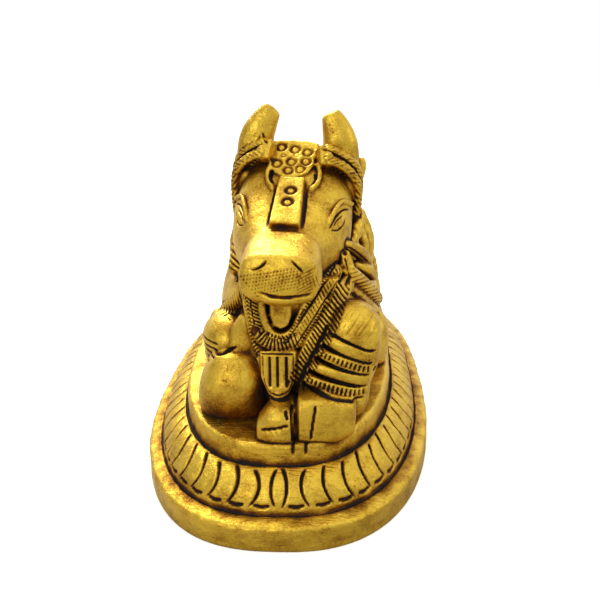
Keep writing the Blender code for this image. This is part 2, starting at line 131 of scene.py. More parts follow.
def antique_brass(name, filing=0.0):
    """Cast brass under a wiped wash: gold on the high places, cloudy brown and black in the low ones.

    The bare metal is satin and mirrors the room softly. The wash is rougher and hides the metal."""
    material = bpy.data.materials.new(name)
    material.use_nodes = True
    tree = material.node_tree
    shader = tree.nodes["Principled BSDF"]
    place = add_node(tree, "ShaderNodeTexCoord").outputs["Object"]
    wash_and_painted_light = add_node(tree, "ShaderNodeAttribute", {"attribute_name": "wash_and_painted_light"}).outputs["Fac"]
    noise = {}
    for kind, width, detail, roughness in (
        ("cloud", PATINA_CLOUD, 5.0, 0.62),
        ("grain", SAND_GRAIN, 3.0, 0.7),
        ("pit", SAND_PIT, 1.0, 0.5),
        ("swell", HAND_SWELL, 3.0, 0.55),
    ):
        settings = {"Scale": 1 / (width * MM), "Detail": detail, "Roughness": roughness}
        noise[kind] = add_node(tree, "ShaderNodeTexNoise", settings, {"Vector": place}).outputs["Fac"]

    # How much wash each place holds: what settled in the recesses, wiped unevenly, with specks and pits. The
    # value also carries painted shade and painted highlights, which take the same colours.
    scaled = {}
    for kind, source, slope, shift in (
        ("uneven", "cloud", 0.85, -0.38),
        ("speck", "grain", 0.34, -0.17),
        ("wiped", "cloud", 1.3, 0.42),
    ):
        settings = {"operation": "MULTIPLY_ADD", 1: slope, 2: shift}
        scaled[kind] = add_node(tree, "ShaderNodeMath", settings, {0: noise[source]}).outputs[0]
    pit_edge = [(0.32, grey(1)), (0.40, grey(0))]
    pits = add_node(tree, "ShaderNodeValToRGB", {}, {"Fac": noise["pit"]}, pit_edge).outputs["Color"]
    pitted = [(0.46, grey(0.03)), (0.66, grey(0.24))]
    patchy = add_node(tree, "ShaderNodeValToRGB", {}, {"Fac": noise["cloud"]}, pitted).outputs["Color"]
    product = {"operation": "MULTIPLY"}
    total = {"operation": "ADD"}
    filled = add_node(tree, "ShaderNodeMath", product, {0: pits, 1: patchy}).outputs[0]
    both = add_node(tree, "ShaderNodeMath", total, {0: scaled["uneven"], 1: scaled["speck"]}).outputs[0]
    spots = add_node(tree, "ShaderNodeMath", total, {0: both, 1: filled}).outputs[0]
    settled_with_painted_light = add_node(tree, "ShaderNodeMath", product, {0: wash_and_painted_light, 1: scaled["wiped"]}).outputs[0]
    total["use_clamp"] = True
    wash_with_painted_light = add_node(tree, "ShaderNodeMath", total, {0: settled_with_painted_light, 1: spots}).outputs[0]

    washed = {
        "Base Color": [
            (0.0, linear(POLISHED_BRASS)),
            (0.24, linear(WORN_BRASS)),
            (0.52, linear(PATINA)),
            (0.85, linear(GRIME)),
        ],
        "Roughness": [(0.0, grey(0.33)), (0.3, grey(0.46)), (0.8, grey(0.8))],
        "Metallic": [(0.45, grey(1)), (0.85, grey(0.25))],
    }
    for socket, stops in washed.items():
        course = add_node(tree, "ShaderNodeValToRGB", {}, {"Fac": wash_with_painted_light}, stops)
        tree.links.new(course.outputs["Color"], shader.inputs[socket])

    # Relief too fine for the mesh: pits, grain, the swell of a skin smoothed by hand, and file marks.
    reliefs = [
        (pits, 0.5, 0.05 * MM, True),
        (noise["grain"], 0.6, 0.09 * MM, False),
        (noise["swell"], 0.6, 0.28 * MM, False),
    ]
    if filing:
        lines = {"Rotation": (0, 0, FILE_DIRECTION), "Scale": [1 / (width * MM) for width in FILE_MARK]}
        along = add_node(tree, "ShaderNodeMapping", lines, {"Vector": place}).outputs["Vector"]
        marks = add_node(tree, "ShaderNodeTexNoise", {"Scale": 1.0, "Detail": 2.0}, {"Vector": along})
        reliefs.append((marks.outputs["Fac"], filing, 0.14 * MM, False))
    skin = None
    for height, strength, depth, sunk in reliefs:
        settings = {"Strength": strength, "Distance": depth, "invert": sunk}
        under = {} if skin is None else {"Normal": skin}
        skin = add_node(tree, "ShaderNodeBump", settings, {"Height": height, **under}).outputs["Normal"]
    tree.links.new(skin, shader.inputs["Normal"])
    return material


def points_of(mesh):
    """The mesh's points in millimetres, one row each."""
    flat = np.zeros(len(mesh.vertices) * 3, np.float32)
    mesh.vertices.foreach_get("co", flat)
    return flat.reshape(-1, 3).astype(float) / MM


def put_points(mesh, points):
    """Moves the mesh's points to new places in millimetres."""
    mesh.vertices.foreach_set("co", (points * MM).astype(np.float32).ravel())
    mesh.update()


def normals_of(mesh):
    """The direction that each point of the mesh faces, one row each."""
    flat = np.zeros(len(mesh.vertices) * 3, np.float32)
    mesh.vertex_normals.foreach_get("vector", flat)
    return flat.reshape(-1, 3).astype(float)


def relaxed(mesh, points, rounds, share=1.0):
    """The points after each has moved towards the mean of its neighbours, round after round."""
    ends = np.zeros(len(mesh.edges) * 2, np.int64)
    mesh.edges.foreach_get("vertices", ends)
    a, b = ends.reshape(-1, 2).T
    count = len(points)
    shared = np.bincount(a, minlength=count) + np.bincount(b, minlength=count)
    shared = np.maximum(shared, 1)
    moved = points.copy()
    for _ in range(rounds):
        total = np.zeros_like(moved)
        for axis in range(3):
            total[:, axis] = np.bincount(a, moved[b, axis], count) + np.bincount(b, moved[a, axis], count)
        moved += share * (total / shared[:, None] - moved)
    return moved


def hollowness(mesh, rounds):
    """How far each point lies below its relaxed surroundings, in millimetres. Ridges are negative."""
    points = points_of(mesh)
    return ((relaxed(mesh, points, rounds) - points) * normals_of(mesh)).sum(1)


def keep_wash_and_painted_light(mesh, wash_and_painted_light):
    """Stores how much wash each point holds, with any painted shade and painted highlight in it, for the
    material to read.
    """
    layer = mesh.attributes.new("wash_and_painted_light", "FLOAT", "POINT")
    layer.data.foreach_set("value", wash_and_painted_light.astype(np.float32))


def finished(mesh, name, material):
    """The mesh as a finished piece that rides with the casting and replaces its plain solid."""
    mesh.materials.clear()
    mesh.materials.append(material)
    mesh.polygons.foreach_set("use_smooth", np.ones(len(mesh.polygons), bool))
    piece = bpy.data.objects.new(name, mesh)
    bpy.context.scene.collection.objects.link(piece)
    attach(piece, "root")
    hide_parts("nandi_idol")
    return piece


def signed_power(value, exponent):
    """A power that keeps the value's sign, for squared ovals."""
    return np.sign(value) * np.abs(value) ** exponent


def oval(turn, inset):
    """Points of the plinth's squared oval, drawn in by an inset."""
    x = (PLINTH_WIDTH / 2 - inset) * signed_power(np.cos(turn), 2 / SQUARENESS)
    y = (PLINTH_LENGTH / 2 - inset) * signed_power(np.sin(turn), 2 / SQUARENESS)
    return x, y


def petal_slope(rise):
    """Inset and height on the petals' convex slope, from 0 at its foot to 1 at its head."""
    full = math.radians(80)
    across = (1 - math.cos(rise * full)) / (1 - math.cos(full))
    up = math.sin(rise * full) / math.sin(full)
    return FLANGE_WIDTH + PETAL_BAND_WIDTH * across, PETAL_FOOT + (PETAL_HEAD - PETAL_FOOT) * up


def plinth_rows():
    """Inset, height and rise along the petals of each ring, from the underside up to the platform."""
    shoulder = WALL_HEIGHT - 0.65
    gutter = PLATFORM_INSET + 0.16
    rim = gutter + 0.08
    rim_foot = PLATFORM_TOP - PLATFORM_ROUNDING
    rows = [(0.25, 0.0, PLAIN), (0.06, 0.06, PLAIN), (0.0, FOOT_ROUNDING, PLAIN)]
    rows += [(0.0, FOOT_ROUNDING + 2.5 * i / 7, PLAIN) for i in range(1, 8)]
    for turn in np.linspace(0.3, 1.4, 5):
        drawn_in = WALL_ROUNDING * (1 - math.cos(turn))
        rows.append((drawn_in, shoulder + WALL_ROUNDING * math.sin(turn), PLAIN))
    rows += [(WALL_ROUNDING + 1.1 * i / 4, WALL_HEIGHT + FLANGE_RISE * i / 4, PLAIN) for i in range(1, 5)]
    rows += [(FLANGE_WIDTH - 0.15, WALL_HEIGHT + 0.20, PLAIN), (FLANGE_WIDTH, WALL_HEIGHT - 0.04, 0)]
    rows += [(*petal_slope(rise), rise) for rise in np.linspace(0.03, 0.97, 31)]
    rows += [(gutter - 0.28, PETAL_HEAD - 0.18, 1), (gutter - 0.08, PETAL_HEAD - 0.24, PLAIN)]
    rows += [(gutter + 0.08 * i / 5, PETAL_HEAD + 2.0 * i / 5, PLAIN) for i in range(6)]
    for turn in np.linspace(0.3, 1.45, 5):
        drawn_in = PLATFORM_ROUNDING * (1 - math.cos(turn))
        rows.append((rim + drawn_in, rim_foot + PLATFORM_ROUNDING * math.sin(turn), PLAIN))
    rows += [(PLATFORM_INSET + 1.1 + 1.2 * i, PLATFORM_TOP, PLAIN) for i in range(3)]
    return rows


def petal_strokes(girth):
    """Where each stroke starts at the petals' head, and the side it bows to. Both sides meet in front."""
    count = int((girth / 2 - 1.3) / PETAL_PITCH)
    strokes = [(0.1, -0.6), (0.9, 0.6)]
    for k in range(1, count + 1):
        strokes.append((1.3 + PETAL_PITCH * k, -1))
        strokes.append((-0.1 - PETAL_PITCH * k, 1))
    return strokes


def stroke_share(along, rise, girth, start, bow, k):
    """Depth, from 0 to 1, of one bowed stroke, broad at its head and fine at its foot."""
    head = 0.93 + 0.03 * math.sin(k * 1.7)
    level = np.clip((rise - 0.15) / (head - 0.15), 0, 1)
    route = start + bow * STROKE_BOW * (1 - (2 * level - 1) ** 2) * (0.92 + 0.12 * math.sin(k * 2.9))
    across = (along - route + girth / 2) % girth - girth / 2
    half = STROKE_WIDTH * (0.50 + 0.55 * level + 0.15 * math.sin(k * 3.1))
    ends = np.clip((head - rise) / 0.05, 0, 1) * np.clip((rise - 0.13) / 0.08, 0, 1)
    foot = np.clip((0.3 - level) / 0.3, 0, 1)
    return np.clip(1 - np.abs(across / half) ** 1.6, 0, 1) * ends * (1 - 0.35 * foot)


def foot_dash(along, rise, girth, middle):
    """Depth, from 0 to 1, of the short level cut at a petal's foot."""
    across = (along - middle + girth / 2) % girth - girth / 2
    level = (rise - 0.15 - 0.035 * (across / 0.95) ** 2) * 6.1
    return np.clip(1 - (across / 1.0) ** 4, 0, 1) * np.clip(1 - (level / 0.26) ** 2, 0, 1)


def make_plinth():
    """A fine grid wrapped round the oval ring by ring, cut along the petals, closed above and below."""
    rows = plinth_rows()
    fine = np.linspace(-math.pi / 2, 1.5 * math.pi, 14401)
    x, y = oval(fine, FLANGE_WIDTH + 1.2)
    travelled = np.concatenate([[0], np.cumsum(np.hypot(np.diff(x), np.diff(y)))])
    girth = travelled[-1]

    bm = bmesh.new()
    bmesh.ops.create_grid(bm, x_segments=PLINTH_COLUMNS, y_segments=len(rows) - 1, size=1)
    mesh = bpy.data.meshes.new("plinth")
    bm.to_mesh(mesh)
    bm.free()
    grid = points_of(mesh) * MM
    along = (grid[:, 0] + 1) / 2 * girth
    row = np.rint((grid[:, 1] + 1) / 2 * (len(rows) - 1)).astype(int)
    inset, height, rise = np.array(rows)[row].T
    turn = np.interp(along, travelled, fine)
    x, y = oval(turn, inset)
    points = np.stack([x, y, height], 1)
    put_points(mesh, points)
    outward = normals_of(mesh)
    flip = -1 if (outward[:, 0] * x).sum() < 0 else 1
    outward *= flip

    darkening = np.zeros(len(points))
    on_band = (rise >= 0) & (rise <= 1)
    strokes = petal_strokes(girth)
    for k, (start, bow) in enumerate(strokes):
        darkening = np.maximum(darkening, stroke_share(along, rise, girth, start, bow, k) * on_band)
    feet = sorted(start - 0.2 * bow for start, bow in strokes)
    for a, b in zip(feet, feet[1:]):
        if b - a > 1.5:
            darkening = np.maximum(darkening, 0.85 * foot_dash(along, rise, girth, (a + b) / 2) * on_band)
    for nick in RIM_NICKS:
        at_rim = (y < 0) & (np.abs(height - PLATFORM_TOP + 0.6) < PLATFORM_ROUNDING)
        darkening = np.maximum(darkening, 0.7 * np.clip(1 - np.abs(x - nick) / NICK_HALF_WIDTH, 0, 1) * at_rim)
    points -= outward * (darkening * STROKE_DEPTH)[:, None]
    hand = 0.05 * np.sin(x * 0.9 + height) * np.sin(y * 0.7 + 1.3) + 0.03 * np.sin(x * 2.3 - y * 1.9)
    hand = (hand - HAND_WOBBLE) * np.clip(height, 0, 1)
    points += outward * hand[:, None]
    put_points(mesh, points)
    layer = mesh.attributes.new("darkening", "FLOAT", "POINT")
    layer.data.foreach_set("value", darkening.astype(np.float32))

    bm = bmesh.new()
    bm.from_mesh(mesh)
    bmesh.ops.remove_doubles(bm, verts=bm.verts, dist=0.00001)
    bmesh.ops.holes_fill(bm, edges=[edge for edge in bm.edges if edge.is_boundary], sides=0)
    bmesh.ops.recalc_face_normals(bm, faces=bm.faces)
    bm.to_mesh(mesh)
    bm.free()
    darkening = np.zeros(len(mesh.vertices), np.float32)
    mesh.attributes["darkening"].data.foreach_get("value", darkening)
    near = hollowness(mesh, 4)
    wide = hollowness(mesh, 24)
    # The wash lies on the flange and the platform, and the middle of the petals gets a painted highlight:
    # less wash there.
    height = points_of(mesh)[:, 2]
    shelf_wash_and_petal_highlight = np.clip(1 - np.abs(height - WALL_HEIGHT - 0.22) / 0.6, 0, 1) * 0.20
    shelf_wash_and_petal_highlight += np.clip((height - PLATFORM_TOP + 0.2) / 0.15, 0, 1) * 0.12
    shelf_wash_and_petal_highlight -= np.clip(1 - np.abs(height - 6.0) / 1.5, 0, 1) * 0.12
    keep_wash_and_painted_light(mesh, 1.0 * darkening + 2.4 * np.clip(near, 0, 1) + 0.7 * wide + shelf_wash_and_petal_highlight)
    return mesh


plinth_mesh = make_plinth()
finished(plinth_mesh, "plinth", antique_brass("filed_cast_brass", filing=0.8))


# The bull's body: cast brass, modelled as plump rounded forms. Folded legs, chest dress, bell, garlands and
# saddle cloth stand proud of it. It is smoothed by hand, and its lines are cut with chisels and punches.

# Heights of the figure count from the platform. The grain is the size of the skin's faces when it is cut.
BODY_GRAIN = 0.16
BODY_TRIANGLES = 196000
FROM_FRONT = (0, 1, -0.2)


def smooth_path(stations, gap):
    """Points about a gap apart on a smooth curve through the stations, sizes with them."""
    ends = np.array([stations[0], *stations, stations[-1]], float)
    rows = []
    for a, b, c, d in zip(ends, ends[1:], ends[2:], ends[3:]):
        steps = max(1, math.ceil(np.linalg.norm((c - b)[:3]) / gap))
        t = (np.arange(steps) / steps)[:, None]
        bend = (2 * a - 5 * b + 4 * c - d) * t**2 + (3 * b - a - 3 * c + d) * t**3
        rows.append(0.5 * (2 * b + (c - a) * t + bend))
    return np.concatenate([*rows, ends[-1:]])


def sweep(bm, stations, up=(0, 0, 1), across=None, squareness=2.0, gap=0.7, cap=None, relief=None):
    """A closed form through stations of x, y, z, half-width and half-height.

    Its ends are domes as long as the cap. Relief scales it by how far along and round it a point lies."""
    rows = smooth_path(stations, gap)
    if cap is None:
        cap = (stations[0][3] + stations[0][4]) / 2
    centres, sizes = rows[:, :3], rows[:, 3:5]
    backward = (centres[0] - centres[1]) / np.linalg.norm(centres[0] - centres[1])
    forward = (centres[-1] - centres[-2]) / np.linalg.norm(centres[-1] - centres[-2])
    turns = np.radians([90, 78, 62, 45, 25])
    dome = np.sin(turns)[:, None] * cap
    shrink = np.cos(turns)[:, None]
    centres = np.concatenate(
        [centres[0] + backward * dome, centres, (centres[-1] + forward * dome)[::-1]]
    )
    sizes = np.concatenate([sizes[0] * shrink, sizes, (sizes[-1] * shrink)[::-1]])
    count = len(centres)
    normal = np.gradient(centres, axis=0)
    normal[0] = normal[1]
    normal[-1] = normal[-2]
    if across is not None:
        normal = np.tile(np.array(across, float), (count, 1))
    normal /= np.maximum(np.linalg.norm(normal, axis=1), 1e-9)[:, None]
    side = np.cross(normal, np.array(up, float))
    side /= np.linalg.norm(side, axis=1)[:, None]
    top = np.cross(side, normal)
    sides = int(min(72, max(12, 2 * math.pi * sizes.max() / gap)))
    travel = np.concatenate([[0], np.cumsum(np.linalg.norm(np.diff(centres, axis=0), axis=1))])
    made = bmesh.ops.create_grid(bm, x_segments=sides, y_segments=count - 1, size=1)["verts"]
    for vert in made:
        turn = (vert.co.x + 1) * math.pi
        row = round((vert.co.y + 1) / 2 * (count - 1))
        c, s = math.cos(turn), math.sin(turn)
        u = math.copysign(abs(c) ** (2 / squareness), c) * sizes[row, 0]
        v = math.copysign(abs(s) ** (2 / squareness), s) * sizes[row, 1]
        swell = relief(travel[row], turn) if relief else 1.0
        vert.co = centres[row] + (side[row] * u + top[row] * v) * swell
    bmesh.ops.remove_doubles(bm, verts=made, dist=0.0004)


def cord(bm, points, radius, up=(0, 0, 1), flat=1.0, gap=0.35, relief=None):
    """A round or flattened cord through points."""
    sweep(
        bm,
        [(*point, radius, radius * flat) for point in points],
        up=up,
        gap=gap,
        cap=radius,
        relief=relief,
    )


def twisted(pitch, strands=2, depth=0.16):
    """Relief of a rope laid of strands."""

    def swell(travel, turn):
        lay = strands * turn / 2 - math.pi * travel / pitch
        return 1 - depth * abs(math.cos(lay)) ** 3

    return swell


def ball(bm, centre, radii, turn=(0, 0, 0)):
    """An ellipsoid, turned by degrees about X, Y and Z."""
    place = Matrix.Translation(centre)
    for axis, degrees in zip("XYZ", turn):
        place = place @ Matrix.Rotation(math.radians(degrees), 4, axis)
    segments = int(min(64, max(14, 8 * max(radii))))
    place = place @ Matrix.Diagonal((*radii, 1))
    alone = bmesh.new()
    bmesh.ops.create_uvsphere(alone, u_segments=segments, v_segments=segments - 4, radius=1, matrix=place)
    mould = bpy.data.meshes.new("ball")
    alone.to_mesh(mould)
    alone.free()
    bm.from_mesh(mould)
    bpy.data.meshes.remove(mould)


def plate(bm, outline, thickness, place, edge=0.15):
    """A flat plate with softened edges: an outline in its own plane, thickened towards its back."""
    made = [bm.verts.new(place @ Vector((u, v, 0))) for u, v in outline]
    face = bm.faces.new(made)
    grown = bmesh.ops.extrude_face_region(bm, geom=[face])["geom"]
    back = [item for item in grown if isinstance(item, bmesh.types.BMVert)]
    bmesh.ops.translate(bm, verts=back, vec=place.to_3x3() @ Vector((0, 0, -thickness)))
    bmesh.ops.bevel(
        bm, geom=list(face.edges), offset=edge, affect="EDGES", segments=3, profile=0.5, material=-1
    )


def facing(origin, outward, up):
    """A plane's placement: its Z points outward and its Y as near up as it can."""
    z = Vector(outward).normalized()
    x = Vector(up).cross(z).normalized()
    y = z.cross(x)
    return Matrix.Translation(origin) @ Matrix((x, y, z)).transposed().to_4x4()


def fused(bm, name, grain, rounds):
    """The overlapping forms run together as one skin, as metal fills the mould, and lightly smoothed."""
    bmesh.ops.recalc_face_normals(bm, faces=bm.faces)
    bmesh.ops.scale(bm, vec=(MM, MM, MM), verts=bm.verts)
    rough = bpy.data.meshes.new(name + "_forms")
    bm.to_mesh(rough)
    bm.free()
    carrier = bpy.data.objects.new(name + "_forms", rough)
    bpy.context.scene.collection.objects.link(carrier)
    fuse = carrier.modifiers.new("fuse", "REMESH")
    fuse.mode = "VOXEL"
    fuse.voxel_size = grain * MM
    fuse.adaptivity = 0
    bpy.context.view_layer.update()
    skin = bpy.data.meshes.new_from_object(carrier.evaluated_get(bpy.context.evaluated_depsgraph_get()))
    bpy.data.objects.remove(carrier)
    bpy.data.meshes.remove(rough)
    put_points(skin, relaxed(skin, points_of(skin), rounds, 0.5))
    return skin


def thinned(mesh, name, triangles):
    """The mesh with its flattest places joined until it has about that many triangles."""
    carrier = bpy.data.objects.new(name, mesh)
    bpy.context.scene.collection.objects.link(carrier)
    faces = sum(len(face.vertices) - 2 for face in mesh.polygons)
    join = carrier.modifiers.new("join", "DECIMATE")
    join.ratio = min(1.0, triangles / faces)
    bpy.context.view_layer.update()
    light = bpy.data.meshes.new_from_object(carrier.evaluated_get(bpy.context.evaluated_depsgraph_get()))
    bpy.data.objects.remove(carrier)
    light.validate()
    return light


def chasing(mesh):
    """The skin's points and normals, before any line is cut in it."""
    points = points_of(mesh)
    blank = np.zeros(len(points))
    return {
        "mesh": mesh,
        "points": points,
        "normals": normals_of(mesh),
        "sunk": blank.copy(),
        "darkening": blank.copy(),
    }


def seen_along(skin, path, look, reach, window=1.8):
    """The skin's points near a line seen along a direction, down to the window's depth.

    Gives which they are, how far they lie off the line, to its side and along it, and its length."""
    sight = np.array(look, float) / np.linalg.norm(look)
    route = np.array(path, float) + (0, 0, PLATFORM_TOP)
    margin = max(reach, window)
    inside = ((skin["points"] > route.min(0) - margin) & (skin["points"] < route.max(0) + margin)).all(1)
    near = np.flatnonzero(inside & (skin["normals"] @ sight < -0.12))
    points = skin["points"][near]
    best = np.full(len(near), np.inf)
    across = np.zeros(len(near))
    travel = np.zeros(len(near))
    run = 0.0
    for a, b in zip(route, route[1:]):
        flat = (b - a) - ((b - a) @ sight) * sight
        length = np.linalg.norm(flat)
        share = np.clip((points - a) @ flat / length**2, 0, 1)
        off = points - a - share[:, None] * (b - a)
        deep = off @ sight
        off -= deep[:, None] * sight
        away = np.linalg.norm(off, axis=1)
        closer = (away < best) & (np.abs(deep) < window)
        best = np.where(closer, away, best)
        across = np.where(closer, off @ np.cross(sight, flat / length), across)
        travel = np.where(closer, run + share * length, travel)
        run += length
    keep = best < reach
    return near[keep], best[keep], across[keep], travel[keep], run


def sink(skin, where, share, depth, dark=1.0):
    """Deepens and darkens a cut, unless a deeper or darker one is there."""
    skin["sunk"][where] = np.maximum(skin["sunk"][where], share * depth)
    skin["darkening"][where] = np.maximum(skin["darkening"][where], share * dark)


def groove(skin, path, half, depth, look=FROM_FRONT, taper=0.0, dark=1.0, window=1.8):
    """One chisel line, as wide as twice its half, that runs out over the taper at both ends."""
    stations = np.array(path, float)
    where, away, _, travel, run = seen_along(skin, smooth_path(stations, 0.3), look, half, window)
    share = np.clip(1 - (away / half) ** 2, 0, 1)
    if taper:
        share = share * np.clip(np.minimum(travel, run - travel) / taper, 0, 1)
    sink(skin, where, share, depth, dark)


def teeth(skin, path, reach, pitch, depth, slant=0.0, look=FROM_FRONT, dark=0.55):
    """Short cuts side by side across a band that follows a path, leaning by the slant."""
    where, _, across, travel, _ = seen_along(skin, smooth_path(np.array(path, float), 0.3), look, reach)
    phase = (travel + slant * across) / pitch
    off = np.abs(phase - np.round(phase)) * pitch
    share = np.clip(1 - (off / (pitch * 0.3)) ** 2, 0, 1) * np.clip((reach - np.abs(across)) / 0.15, 0, 1)
    sink(skin, where, share, depth, dark)


def ring_punch(skin, centre, radius, look, half=0.22, depth=0.22, dark=0.55):
    """A ring struck with a hollow punch, its middle slightly dished."""
    spot = [centre, Vector(centre) + Vector((0.001, 0, 0))]
    where, away, _, _, _ = seen_along(skin, spot, look, radius + half)
    share = np.clip(1 - ((away - radius) / half) ** 2, 0, 1)
    dish = np.clip(1 - away / radius, 0, 1)
    sink(skin, where, share, depth, dark)
    skin["sunk"][where] = np.maximum(skin["sunk"][where], 0.5 * dish * depth)


def chased(skin, grain):
    """The mesh with its cuts sunk in, and a wash value from the cuts and hollows, with the painted shade and
    highlights of the soft patches added.
    """
    mesh = skin["mesh"]
    put_points(mesh, skin["points"] - skin["normals"] * skin["sunk"][:, None])
    near = hollowness(mesh, max(2, round(0.6 / grain)))
    wide = hollowness(mesh, max(8, round(6.0 / grain)))
    keep_wash_and_painted_light(mesh, np.clip(0.95 * skin["darkening"] + 4.5 * near + 0.5 * wide, -1, 2))
    return mesh


def add_trunk(bm):
    """The barrel of the body, the hump on the shoulders and the thick neck."""
    body = [
        (0.6, -25.5, 6.5, 5.0, 8.0),
        (0.9, -21, 8.0, 8.2, 9.5),
        (1.3, -15, 9.5, 10.8, 11.5),
        (1.6, -7, 10.0, 12.0, 12.5),
        (1.6, 2, 9.0, 12.3, 11.5),
        (1.4, 11, 8.2, 12.2, 10.8),
        (1.1, 20, 7.6, 11.8, 10.2),
        (0.8, 27, 6.6, 9.6, 8.6),
        (0.6, 31, 5.6, 6.0, 6.0),
    ]
    sweep(bm, body, across=(0, -1, 0), gap=1.0, cap=2.5)
    ball(bm, (1.8, -5.5, 16.8), (10.9, 8.2, 10.4))
    neck = [
        (1.0, -16.0, 1.0, 8.0, 10.8),
        (1.2, -16.2, 8.0, 7.8, 10.4),
        (1.6, -15.4, 14.0, 7.2, 9.6),
        (1.9, -13.0, 20.0, 7.0, 9.4),
        (2.0, -11.0, 26.0, 6.6, 8.4),
    ]
    sweep(bm, neck, up=(0, -1, 0), across=(0, 0, 1), gap=1.0, cap=1.5)


def add_forelegs(bm):
    """The right knee, raised with its hoof tucked under, and the left shank laid across the front."""
    knee = [
        (-6.2, -24.2, -0.5, 4.9, 4.1),
        (-6.2, -24.6, 2.2, 5.0, 4.8),
        (-6.1, -24.7, 5.4, 4.4, 4.7),
        (-5.9, -24.4, 7.9, 3.2, 3.5),
    ]
    sweep(bm, knee, up=(0, -1, 0), across=(0, 0, 1), squareness=2.5, cap=1.0)
    right_arm = [(-6.2, -24.0, 3.6, 3.8, 3.8), (-7.4, -17, 5, 3.6, 4.0), (-8.2, -10, 6, 3.2, 4.2)]
    sweep(bm, right_arm, cap=2.5)
    ball(bm, (-6.8, -20.9, 9.0), (4.2, 4.9, 3.4))
    skin_fold = [
        (-3.4, -25.0, 12.0, 1.6, 2.2), (-5.0, -24.6, 8.8, 1.8, 2.4), (-4.6, -24.9, 5.0, 2.0, 3.0)
    ]
    sweep(bm, skin_fold, cap=1.0)
    for k in range(4):
        fold = [
            (-8.0 - 0.2 * k, -24.5, 9.4 - 1.0 * k),
            (-9.8, -23.0, 9.2 - 1.0 * k),
            (-10.9, -19.5, 8.6 - 1.0 * k),
        ]
        cord(bm, fold, 0.55)
    shank = [
        (9.4, -28.9, 2.2, 3.4, 2.5),
        (7.2, -29.5, 2.1, 3.7, 3.2),
        (5.0, -29.9, 2.2, 3.7, 3.3),
        (2.9, -30.1, 2.1, 3.6, 3.4),
    ]
    sweep(bm, shank, across=(-1, 0, 0), squareness=4.5, gap=0.5, cap=0.5)
    hoof = [
        (2.0, -30.5, 1.3, 3.4, 2.7),
        (0.6, -30.7, 1.4, 3.4, 2.9),
        (-0.8, -31.1, 1.3, 2.9, 2.6),
        (-2.2, -31.9, 0.9, 1.6, 1.7),
    ]
    sweep(bm, hoof, across=(-1, 0, 0), squareness=3.6, gap=0.5, cap=0.4)
    arm = [
        (8.3, -26.4, 3.0, 3.3, 3.4),
        (8.6, -26.4, 6.0, 3.3, 3.7),
        (9.3, -26.2, 9.0, 3.5, 4.0),
        (9.6, -25.6, 12.2, 3.4, 3.9),
    ]
    sweep(bm, arm, up=(0, -1, 0), squareness=3.0, cap=3.2)
    ball(bm, (9.6, -21.5, 9.4), (3.4, 5.6, 4.6))


def arm_band(k, proud=0.0):
    """The route of the band k steps up from the lowest, or of a line proud of it."""
    high = 6.6 + 1.62 * k
    low = 5.0 + 1.55 * k
    inner = 3.2 + 0.85 * k
    outer = 11.1 + 0.35 * k
    front = -30.3 + 0.25 * k - proud
    return [
        (inner, front + 2.2, high),
        (inner + 1.0, front + 0.5, high),
        ((inner + outer) / 2, front, (high + low) / 2),
        (outer - 1.2, front + 0.7, low),
        (outer, front + 3.0, low - 0.5),
    ]


def add_arm_bands(bm):
    """Four bands round the left foreleg, dropping towards the outside."""
    for k in range(4):
        sweep(bm, [(*point, 0.62, 0.66) for point in arm_band(k)], gap=0.25, cap=0.5, squareness=2.8)


def add_chest_dress(bm):
    """The bib of necklaces, the tongue plate under the chin, and the bell."""
    lean = (0, -1, 0.08)
    up = (0, 0, 1)
    bib = [
        (-4.8, 7.6),
        (-3.8, 1.4),
        (-2.4, -4.0),
        (0.0, -6.4),
        (2.0, -5.8),
        (4.2, -0.6),
        (6.2, 4.6),
        (7.6, 8.6),
    ]
    plate(bm, bib, 4.0, facing((0, -27.4, 10.2), lean, up), edge=0.3)
    ball(bm, (1.4, -23.5, 16.0), (5.4, 4.6, 4.6))
    tongue = [(-1.3, 2.6), (1.5, 2.6), (1.45, -0.6), (1.0, -1.9), (0.1, -2.4), (-0.9, -1.9), (-1.3, -0.6)]
    plate(bm, tongue, 2.5, facing((0.4, -28.5, 15.1), lean, up), edge=0.35)
    round_tongue = [(-1.9, -28.0, 17.6), (-1.7, -28.2, 14.6), (-0.9, -28.5, 12.6), (0.5, -28.7, 11.9),
                    (2.0, -28.5, 12.6), (3.0, -28.1, 14.6), (3.9, -27.4, 17.2)]
    cord(bm, round_tongue, 0.5)
    bell = [(-2.3, 2.9), (2.3, 2.9), (2.2, -0.6), (1.25, -2.9), (-1.25, -2.9), (-2.2, -0.6)]
    plate(bm, bell, 3.0, facing((0.1, -29.6, 7.2), (0, -1, 0.15), up), edge=0.35)
    ball(bm, (0.1, -29.9, 3.9), (1.15, 1.2, 0.8))
    braid = [(-3.4, -27.4, 18.4), (-3.0, -27.9, 15.0), (-2.6, -28.1, 12.6), (-2.5, -26.9, 10.8)]
    cord(bm, braid, 0.85, up=(0, -1, 0), flat=0.8, gap=0.25)
    necklace = [(-2.9, -27.2, 12.5), (-1.5, -28.6, 11.4), (0.2, -28.8, 11.0), (2.4, -28.4, 11.2)]
    cord(bm, necklace, 0.95, up=(0, -1, 0), flat=0.7, gap=0.25)
    strap = [(1.4, -27.6, 10.4), (3.5, -28.0, 13.6), (5.4, -26.5, 16.4), (7.0, -22.6, 18.6)]
    cord(bm, strap, 1.15, up=(0, -1, 0), flat=0.6, gap=0.25)
    fringe = [
        (2.4, -28.4, 5.6), (4.2, -28.0, 9.4), (5.9, -27.4, 12.6), (7.2, -25.0, 15.4), (8.2, -22.0, 16.6)
    ]
    cord(bm, fringe, 1.5, up=(0, -1, 0), flat=0.5, gap=0.25)


